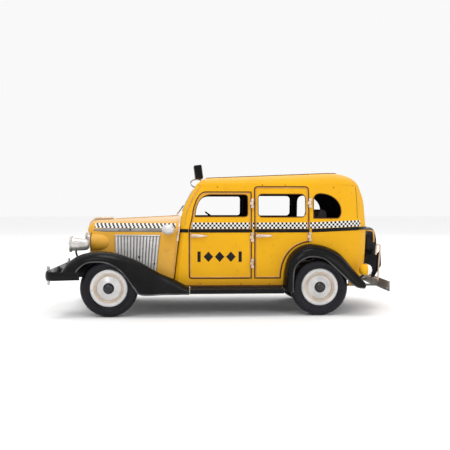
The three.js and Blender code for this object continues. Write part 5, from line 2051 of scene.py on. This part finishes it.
@dataclass
class Fender:
    """One swept fender, from its root on the body over its crest to its rolled lip."""

    name: str
    crest: tuple[Pair, ...]
    lip: tuple[Pair, ...]
    crest_y: float
    root_dip: float
    outer_y: float = 63.7

    def root_y(self, x: float) -> float:
        """How far out the fender leaves the body.

        Args:
            x: where along the car.

        Returns:
            The value, in millimetres.
        """
        if self.name == "rear":
            return min(49.2, abs(SHELL.side(min(x, 136.0), 60.0).y) - 0.4)
        if x > NOSE.x1 - 2:
            return 49.2
        return max(30.6, min(49.2, NOSE.side_y(max(x, NOSE.x0), 60.0) + 0.3))

    def row(self, crest: Vector, lip: Vector, side: Side) -> list[Vector]:
        """One cross-section from root to lip.

        Args:
            crest: the crest line or its point.
            lip: the lip line or its point.
            side: which side of the car.

        Returns:
            The points, in order.
        """
        root = self.root_y(crest.x)
        flat, round_steps = 5, 16
        row = []
        for k in range(flat):
            t = k / flat
            y = root + (self.crest_y - root) * t
            row.append(Vector((crest.x, side.value * y, crest.y - self.root_dip * (1 - t) ** 1.6)))
        for k in range(round_steps + 1):
            a = math.radians(90 * k / round_steps)
            down = 1 - math.cos(a)
            y = self.crest_y + (self.outer_y - self.crest_y) * math.sin(a)
            row.append(Vector((crest.x + (lip.x - crest.x) * down, side.value * y,
                crest.y + (lip.y - crest.y) * down)))
        return row

    def build(self, side: Side) -> None:
        """Makes the fender and its rolled edge.

        Args:
            side: which side of the car.
        """
        crest = through(self.crest, 6)
        lip = through(self.lip, 6)
        rows = [self.row(c, e, side) for c, e in zip(crest, lip)]
        obj = sheet(f"{self.name}_wing_{side.word}", rows, Vector((0, side.value, 0.6)), BLACK, BLACK, 0.7)
        finish_piece(obj, "car", [f"{self.name}_fender_{side.word}"])
        # the lip tube's lighter grey is a painted highlight on the rolled edge
        edge = [row[-1] for row in rows]
        run_trim(f"{self.name}_wing_edge_{side.word}", edge, 0.62, EDGE, 10)
        if self.name == "rear":
            self.roll(side, rows)
        else:
            self.apron(side, crest)

    def apron(self, side: Side, crest: Sequence[Vector]) -> None:
        """The inner apron that closes the front fender off from the engine bay.

        Args:
            side: which side of the car.
            crest: the finer crest line.
        """
        rows = []
        for p in crest[4:-18]:
            high = p.y - self.root_dip - 0.4
            low = min(high - 1, 34.0 + 4.0 * smooth_step((-132 - p.x) / 10))
            y = side.value * (self.root_y(p.x) + 0.5)
            rows.append([Vector((p.x, y, low + (high - low) * k / 4)) for k in range(5)])
        obj = sheet(f"front_apron_{side.word}", rows, Vector((0, side.value, 0)), BLACK, BLACK, 0.6)
        finish_piece(obj, "car")

    def roll(self, side: Side, rows: list[list[Vector]]) -> None:
        """The raised roll that follows the rear fender outside its lip."""
        line = [row[13] + Vector((0, side.value * 0.1, 0)) for row in rows[10:-2]]
        run_trim(f"rear_wing_roll_{side.word}", line, 0.75, BLACK, 12)


@dataclass
class RunningBoard:
    """A step between the fenders, with ribs along its tread."""

    x0: float = -27.6
    x1: float = 58.4
    top: float = 25.9

    def build(self, side: Side) -> None:
        """Makes the tread, its turned-down lip and its ribs.

        Args:
            side: which side of the car.
        """
        s = side.value
        section = [(45, self.top - 0.7), (45, self.top), (61.6, self.top)]
        section += [(61.6 + 1.2 * math.sin(a), self.top - 1.2 + 1.2 * math.cos(a)) for a in (math.pi / 8,
            math.pi / 4, 3 * math.pi / 8)]
        section += [(62.8, self.top - 1.2), (62.8, 21.4), (62.1, 21.4), (62.1, self.top - 0.7)]
        ends = []
        count = len(section)
        for x in (self.x0, self.x1):
            ends += [Vector((x, s * y, z)) for y, z in section]
        faces = [(i, (i + 1) % count, count + (i + 1) % count, count + i) for i in range(count)]
        faces += [tuple(range(count - 1, -1, -1)), tuple(range(count, 2 * count))]
        obj = joined_mesh(f"running_step_{side.word}", [(ends, faces)], BLACK)
        finish_piece(obj, "car", [f"running_board_{side.word}"])
        ribs = []
        for k in range(5):
            y = s * (50.4 + 2.4 * k)
            ribs.append(([Vector((x, y, self.top - 0.05)) for x in (self.x0 + 2, 15, self.x1 - 2)], False))
        finish_piece(swept(f"step_ribs_{side.word}", ribs, 0.4, RUBBER, 8), "car")
        joint = [Vector((self.x0 - 0.3, s * 49.6, self.top + 0.1)),
            Vector((self.x0 - 0.3, s * 61.6, self.top + 0.1)),
            Vector((self.x0 - 0.3, s * 62.9, self.top - 1.2)), Vector((self.x0 - 0.3, s * 62.9, 21.6))]
        run_trim(f"step_joint_{side.word}", joint, 0.22, DULL, 8)


@dataclass
class Bumpers:
    """The bent front bar with its guards, and the flat rear bar."""

    front_x: float = -158.0
    half: float = 65.3
    low: float = 34.4
    high: float = 42.4

    def build(self) -> None:
        """Makes both bumpers with their irons."""
        self.front()
        self.rear()

    def front(self) -> None:
        """The bar across the nose, its swept ends, two upright guards and two irons."""
        bend = 9.0
        left = Outline(-126.8, -self.half).line(-138, -self.half).line(self.front_x + bend, -self.half)
        left.arc(self.front_x + bend, -self.half + bend, bend, 270, 180, 10)
        path = left.points + [(x, -y) for x, y in reversed(left.points)]
        path = dense(tidy_loop(path), 5.0, closed=False)
        middle = (self.low + self.high) / 2
        rows = []
        for k, (x, y) in enumerate(path):
            away = min(1.0, max(0.0, (x - self.front_x - bend) / 20))
            tall = (self.high - self.low) / 2 * (1 - 0.12 * away)
            a = path[max(0, k - 1)]
            b = path[min(len(path) - 1, k + 1)]
            run = Vector((b[0] - a[0], b[1] - a[1])).normalized()
            normal = Vector((-run.y, run.x))
            row = []
            for i in range(9):
                share = -1 + 2 * i / 8
                swell = 0.7 * (1 - share * share)
                row.append(Vector((x + normal.x * swell, y + normal.y * swell, middle + share * tall)))
            rows.append(row)
        obj = sheet("front_bar", rows, Vector((-1, 0, 0)), BLACK, BLACK, 0.9)
        finish_piece(obj, "car", ["front_bumper"])
        guards = []
        for y in (-48.0, 48.0):
            profile = round_profile([(0, 30.0), (1.2, 30.6), (1.5, 34), (1.5, 42), (1.2, 45.8), (0, 46.4)], 4)
            guards.append(spun(profile, Axis.Z, (self.front_x - 0.1, y, 0), 20))
            foot = spun(round_profile([(0, 28.6), (1.1, 28.9), (1.1, 29.9), (0, 30.4)], 3), Axis.Z,
                (self.front_x - 0.1, y, 0), 16)
            guards.append(foot)
        finish_piece(joined_mesh("bumper_guards", guards, PLATED), "car")
        irons = []
        for y in (-22.0, 22.0):
            irons.append(([Vector((self.front_x + 1, y, 36)), Vector((-140, y, 34.6)),
                Vector((-113, y, 33.6))], False))
        finish_piece(swept("front_irons", irons, 1.4, BLACK, 12), "car")

    def rear(self) -> None:
        """A plain flat bar on two irons, with its bolts."""
        bar = box_points(158.5, 160, -54, 54, 21.4, 31.0)
        finish_piece(joined_mesh("rear_bar", [bar], DULL, 0.6, 3), "car", ["rear_bumper"])
        irons = [box_points(122, 158.8, y - 1.6, y + 1.6, 23.2, 25.2) for y in (-24.0, 24.0)]
        irons += [box_points(120, 124, y - 1.6, y + 1.6, 23.2, 30.6) for y in (-24.0, 24.0)]
        finish_piece(joined_mesh("rear_irons", irons, DULL, 0.4), "car")
        spots = [(Vector((158.4, y, 24.2)), Vector((-1, 0, 0))) for y in (-50.0, -24.0, 24.0, 50.0)]
        finish_piece(studded("rear_bar_bolts", spots, 1.4, STEEL, 0.6), "car")


# ---------- wheels ----------
@dataclass
class Wheel:
    """A road wheel: a round-shouldered tyre, a stepped disc and a domed hub cap."""

    end: str
    x: float
    z: float = WHEEL_RADIUS
    radius: float = WHEEL_RADIUS
    outer_y: float = 60.0
    width: float = 14.0

    def build(self, side: Side) -> None:
        """Makes the wheel on one side.

        Args:
            side: which side of the car.
        """
        s = side.value
        key = f"{self.end}_{side.word}"
        body = f"{self.end}_wheels"
        self._tyre(key, s, body, side)
        self._disc(key, s, body, side)

    def _spin(self, name: str, profile: list[Pair], s: int, finish: Finish,
        segments: int = 72) -> bpy.types.Object:
        """A piece turned about the axle, its distances measured inwards from the tyre's outer face."""
        placed = [(r, s * (self.outer_y - d)) for r, d in profile]
        return turned(name, placed, Axis.Y, (self.x, 0, self.z), finish, segments)

    def _tyre(self, key: str, s: int, body: str, side: Side) -> None:
        """Makes the tyre, with round shoulders and a flat tread.

        Args:
            key: the door's or wheel's place, as it ends the names.
            s: -1 on the left and 1 on the right.
            body: the body that it rides on.
            side: which side of the car.
        """
        r, w = self.radius, self.width
        outer = [(17.3, 2.6), (17.9, 1.3), (18.9, 0.7), (19.5, 0.9), (20.0, 0.5), (22.3, 0.05), (24.4, 0.7),
            (25.8, 2.3), (r - 0.08, 4.2)]
        tread = [(r, 5.2), (r, w - 5.2)]
        inner = [(rr, w - d) for rr, d in reversed(outer)]
        profile = round_profile(outer, 3) + tread + round_profile(inner, 3)
        profile += [(17.3, w / 2), profile[0]]
        obj = self._spin(f"tyre_{key}", profile, s, RUBBER)
        finish_piece(obj, body, [f"{self.end}_tyre_{side.word}"])

    def _disc(self, key: str, s: int, body: str, side: Side) -> None:
        """Makes the stepped disc, its painted line and the hub cap.

        Args:
            key: the door's or wheel's place, as it ends the names.
            s: -1 on the left and 1 on the right.
            body: the body that it rides on.
            side: which side of the car.
        """
        face = [(4.2, 1.6), (5.4, 1.2), (6.6, 1.6), (8.4, 2.6), (10.4, 3.5), (11.4, 3.9)]
        step = [(11.6, 3.3), (12.2, 2.7), (13.2, 2.4), (13.6, 2.5), (13.9, 2.0), (15.2, 1.5), (16.6, 1.7),
            (17.2, 2.3)]
        back = [(17.2, 6.5), (16.2, 7.3), (12, 6.4), (4.2, 6.0), (4.2, 1.6)]
        obj = self._spin(f"disc_{key}", round_profile(face, 3) + round_profile(step, 3) + back, s, SILVER)
        finish_piece(obj, body, [f"{self.end}_wheel_disc_{side.word}"])
        ring = self._spin(f"disc_line_{key}", [(11.0, 3.9), (11.3, 3.2), (12.0, 2.65), (13.2, 2.32),
            (13.8, 2.3), (13.8, 2.9), (11.6, 4.1), (11.0, 3.9)], s, CREAM)
        finish_piece(ring, body)
        dome = [(5.0, 1.6), (5.0, 0.8), (4.6, 0.1), (3.8, -0.8), (2.6, -1.6), (1.3, -2.1), (0, -2.3)]
        cap = self._spin(f"hub_cap_{key}", [(0, 6.0), (4.0, 6.0), (4.0, 1.8)] + round_profile(dome, 3), s,
            HUB, 48)
        finish_piece(cap, body)


# ---------- roof sign, tail and cabin fittings ----------
@dataclass
class RoofSign:
    """A small blank lamp box on a bent wire."""

    centre: tuple[float, float, float] = (-19.4, 0.0, 135.2)
    size: tuple[float, float, float] = (8.2, 32.0, 13.6)
    tilt: float = 7.0

    def _turn(self, points: Iterable[Vector]) -> list[Vector]:
        """Leans points of the box about its own middle, then puts them in place.

        Args:
            points: points about the middle of the box.

        Returns:
            The points, in order.
        """
        a = math.radians(self.tilt)
        c, s = math.cos(a), math.sin(a)
        return [Vector((p.x * c - p.z * s, p.y, p.x * s + p.z * c)) + Vector(self.centre) for p in points]

    def build(self) -> None:
        """Makes the case, its two blank faces and the wire."""
        x, y, z = (k / 2 for k in self.size)
        points, faces = box_points(-x + 0.5, x - 0.5, -y + 0.1, y - 0.1, -z + 0.1, z - 0.1)
        case = joined_mesh("sign_case", [(self._turn(points), faces)], BLACK, 0.7, 3)
        finish_piece(case, "car", ["roof_sign"])
        faces_out = []
        for end in (-1, 1):
            xs = sorted((end * (x - 0.55), end * (x - 0.15)))
            points, faces = box_points(xs[0], xs[1], -y + 1.6, y - 1.6, -z + 1.6, z - 1.6)
            faces_out.append((self._turn(points), faces))
        finish_piece(joined_mesh("sign_faces", faces_out, GLASS, 0.25), "car")
        lines = []
        for end in (-1, 1):
            loop = rounded_box(-y + 1.0, y - 1.0, -z + 1.0, z - 1.0, 1.2)
            ring = [Vector((end * (x - 0.45), a, b)) for a, b in dense(loop, 3)]
            lines.append((self._turn(ring), True))
        finish_piece(swept("sign_rims", lines, 0.45, DULL, 8), "car")
        wire = []
        for s in (-1, 1):
            leg = [(-22.6, 120.6), (-25.2, 121.6), (-27, 124.2), (-26.4, 126.6), (-23.6, 128.2),
                (-19.4, 128.6), (-16.6, 127.6)]
            wire.append((through([(a, s * 10.0, b) for a, b in leg], 5), False))
        finish_piece(swept("sign_wire", wire, 0.42, STEEL, 8), "car", ["sign_bracket"])


@dataclass
class Tail:
    """Spare wheel, folding rack and bright hoops behind the cabin."""

    spare: tuple[float, float, float] = (152.1, 0.0, 62.4)

    def build(self) -> None:
        """Makes everything behind the back panel."""
        self.spare_wheel()
        self.rack()

    def spare_wheel(self) -> None:
        """The spare tyre stood against the back, with its disc and strap."""
        outer = [(11.3, -5.2), (12.4, -6.1), (14.2, -6.4), (15.8, -6.1), (17.2, -4.8), (17.8, -2.6),
            (17.8, 2.6), (17.2, 4.8), (15.8, 6.1), (14.2, 6.4), (12.4, 6.1), (11.3, 5.2)]
        profile = round_profile(outer, 4) + [(11.3, 0), (11.3, -5.2)]
        finish_piece(turned("spare_tyre_skin", profile, Axis.X, self.spare, RUBBER, 72), "car",
            ["spare_tyre"])
        disc = round_profile([(0, 6.2), (2.4, 6.0), (3.4, 5.2), (5.4, 4.6), (8, 3.4), (9.6, 3.6),
            (11.1, 4.6)], 4)
        disc += [(11.1, 0), (3, 0), (3, -7.6), (0, -7.6)]
        finish_piece(turned("spare_disc_skin", disc, Axis.X, self.spare, SILVER, 56), "car",
            ["spare_disc"])
        x, _, z = self.spare
        strap = through([(145.0, -13.0, z + 14.6), (149.5, -16.4, z + 14.9), (x + 1.6, -17.4, z + 14.2),
            (x + 2.4, -18.4, z + 10.5), (x + 2.4, -18.7, z + 3.5)], 5)
        run_trim("spare_strap", strap, 0.8, BEAD, 10)

    def rack(self) -> None:
        """Two black end plates, slats, a shelf, and the bright rods beside them."""
        pen = Outline(144.8, 46).line(145.2, 54.4).line(150, 54).bend(154.4, 53, 157.6, 57)
        pen.line(159.2, 57.6).line(159.8, 43.4).line(152.6, 31.6).line(149.8, 31.6).line(150.6, 42.6)
        parts = [slab(pen.points, lambda x, z, y: Vector((x, y, z)), y - 0.55, y + 0.55) for y in (-26.0,
            26.0)]
        parts += [box_points(151.6, 153.4, -26, 26, z - 1.3, z + 1.3) for z in (41.6, 36.4)]
        parts.append(box_points(151.2, 158.4, -26, 26, 42.6, 43.4))
        finish_piece(joined_mesh("rack_frame", parts, BLACK, 0.2), "car", ["luggage_rack"])
        rods = []
        for s in (-1, 1):
            path = [(156.2, 28.6), (156.5, 40), (157.3, 52), (158.2, 61.4), (157.6, 63.6), (155.6, 64),
                (154.4, 62), (154, 54)]
            rods.append((through([(a, s * 28.4, b) for a, b in path], 5), False))
        rods.append(([Vector((156.2, y, 30.2)) for y in (-28.4, 0, 28.4)], False))
        finish_piece(swept("rack_rods", rods, 0.75, ROSE, 10), "car", ["rack_hoop"])


@dataclass
class Seat:
    """A bench seat bent from tin, dressed as rolled upholstery."""

    name: str
    x0: float
    depth: float
    top: float
    half: float
    base: float
    floor: float = 32.5

    def build(self) -> None:
        """Makes the bench: skirt, cushion, backrest and hem in one bent form."""
        x0, d, top, base = self.x0, self.depth, self.top, self.base
        pen = Outline(x0, self.floor).line(x0, base - 3).bend(x0, base, x0 + 3, base).line(x0 + d - 9,
            base - 1)
        pen.line(x0 + d - 5.2, top - 4).bend(x0 + d - 4.4, top, x0 + d - 1, top).bend(x0 + d + 2.2, top,
            x0 + d + 2.9, top - 3)
        outer = tidy_loop(pen.line(x0 + d + 2.9, top - 13.8).points)
        loop = outer + [(x0 + d + 2.9, base - 8), (x0 + 1.5, base - 8), (x0 + 1.5, self.floor)]
        rolls = 9
        parts = slab(loop, lambda x, z, y: Vector((x, y, z)), -self.half, self.half)
        obj = joined_mesh(f"{self.name}_bench", [parts], TRIM, 0.35)
        finish_piece(obj, "car", [self.name])
        lines = []
        for k in range(rolls):
            y = -self.half + 2 * self.half * (k + 0.5) / rolls
            lines.append(([Vector((x, y, z)) for x, z in dense(outer[4:-3], 3, closed=False)], False))
        finish_piece(swept(f"{self.name}_rolls", lines, 0.7, TRIM, 8), "car")


@dataclass
class Steering:
    """The steering wheel on its leaning column."""

    hub: tuple[float, float, float] = (-5.2, -21.0, 90.4)
    tilt: float = 35.5

    def _lean(self, p: Vector) -> Vector:
        """Turns a point of the upright wheel onto the leaning column.

        Args:
            p: the point.

        Returns:
            The point.
        """
        a = math.radians(self.tilt)
        c, s = math.cos(a), math.sin(a)
        return Vector((p.x * c + p.z * s, p.y, -p.x * s + p.z * c)) + Vector(self.hub)

    def build(self) -> None:
        """Makes rim, spokes, hub and column in one piece."""
        rim = [self._lean(Vector((9 * math.cos(a), 9 * math.sin(a),
            0))) for a in (2 * math.pi * k / 48 for k in range(48))]
        spokes = []
        for i in range(3):
            a = 2 * math.pi * i / 3
            spokes.append(([self._lean(Vector((r * math.cos(a), r * math.sin(a), 0))) for r in (0, 4.5, 8.8)],
                False))
        obj = swept("steering_rim", [(rim, True)] + spokes, 0.78, BLACK, 12)
        finish_piece(obj, "steering", ["steering_wheel"])
        column = [self._lean(Vector((0, 0, z))) for z in (0.9, -20, -51.5)]
        run_trim("steering_column", column, 1.08, STEEL, 14, body="steering")


NOSE = Nose()


# ---------- stage ----------
def dress_working_parts() -> None:
    """Gives the carried-over working parts their finishes."""
    looks = {"chassis": BLACK, "front_axle": STEEL, "rear_axle": STEEL, "motor_frame": STEEL,
        "flywheel": STEEL, "drive_gear": BRASS, "idler_gear": BRASS}
    for node, finish in looks.items():
        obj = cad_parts[node]
        for place in obj.material_slots:
            place.material = finish.make()
        LOG.info("%s keeps its shape and takes %s", node, finish.name)


def floor_material() -> bpy.types.Material:
    """A pale, faintly mottled studio floor.

    Returns:
        The material.
    """
    material = bpy.data.materials.new("studio_floor")
    material.use_nodes = True
    w = Wiring(material.node_tree)
    shader = material.node_tree.nodes["Principled BSDF"]
    at = w.node("ShaderNodeTexCoord").outputs["Object"]
    tone = w.mix(w.noise(at, 3.0), (0.93, 0.93, 0.93, 1), (0.96, 0.96, 0.96, 1))
    w.put(shader.inputs["Base Color"], tone)
    shader.inputs["Roughness"].default_value = 0.9
    return material


def add_light(name: str, at: Sequence[float], target: Sequence[float], size: float, power: float) -> None:
    """Adds one soft square light.

    Args:
        name: its name.
        at: where it hangs, in metres.
        target: where it points.
        size: its side, in metres.
        power: its strength in watts.
    """
    data = bpy.data.lights.new(name, "AREA")
    data.size = size
    data.energy = power
    obj = bpy.data.objects.new(name, data)
    obj.location = at
    obj.rotation_euler = (Vector(target) - Vector(at)).to_track_quat("-Z", "Y").to_euler()
    bpy.context.scene.collection.objects.link(obj)


def set_stage() -> None:
    """The floor, the lights, the world and the camera."""
    scene = bpy.context.scene
    scene.view_settings.view_transform = "Standard"
    mesh = bpy.data.meshes.new("floor")
    reach = 6.0
    mesh.from_pydata([(-reach, -reach, 0), (reach, -reach, 0), (reach, reach, 0), (-reach, reach, 0)], [],
        [(0, 1, 2, 3)])
    mesh.materials.append(floor_material())
    floor = bpy.data.objects.new("floor", mesh)
    scene.collection.objects.link(floor)
    world = bpy.data.worlds.new("studio")
    world.use_nodes = True
    backdrop = world.node_tree.nodes["Background"]
    backdrop.inputs["Color"].default_value = (1, 1, 1, 1)
    backdrop.inputs["Strength"].default_value = 0.95
    scene.world = world
    add_light("key", (-0.5, -1.1, 1.2), (0, 0, 0.06), 0.5, 3.0)
    add_light("fill", (0.9, -1.0, 0.5), (0, 0, 0.06), 0.5, 1.2)
    add_light("top", (0, -0.2, 1.4), (0, 0, 0.06), 0.5, 5.0)
    add_light("back", (0.2, 1.2, 0.9), (0, 0, 0.06), 1.0, 3.0)
    camera = bpy.data.cameras.new("camera")
    camera.lens = 49.72
    camera.sensor_width = 36
    camera.clip_start = 0.01
    eye = bpy.data.objects.new("camera", camera)
    eye.location = (-0.0253, -0.627, 0.1007)
    eye.rotation_euler = (math.radians(90 - 1.66), 0, math.radians(-3.0))
    scene.collection.objects.link(eye)
    scene.camera = eye


def main() -> None:
    """Builds the car piece by piece."""
    logging.basicConfig(level=logging.INFO, format="%(name)s: %(message)s", stream=sys.stdout)
    set_stage()
    dress_working_parts()
    cabin = Cabin()
    cabin.build()
    for shape in (FRONT_DOOR, REAR_DOOR):
        for side in Side:
            Door(shape, side, cabin).build()
    NOSE.build()
    Lamps().build()
    fenders = (Fender("front", CREST, FRONT_LIP, 52.0, 1.6), Fender("rear", REAR_CREST, REAR_LIP, 51.0, 0.0))
    for side in Side:
        for fender in fenders:
            fender.build(side)
        RunningBoard().build(side)
        Wheel("front", FRONT_AXLE_X).build(side)
        Wheel("rear", REAR_AXLE_X).build(side)
    Bumpers().build()
    RoofSign().build()
    Tail().build()
    Seat("front_seat", 4, 30, 86, 34, 56).build()
    Seat("rear_seat", 56.4, 44, 97.6, 36, 62).build()
    Steering().build()


if __name__ == "__main__":
    main()
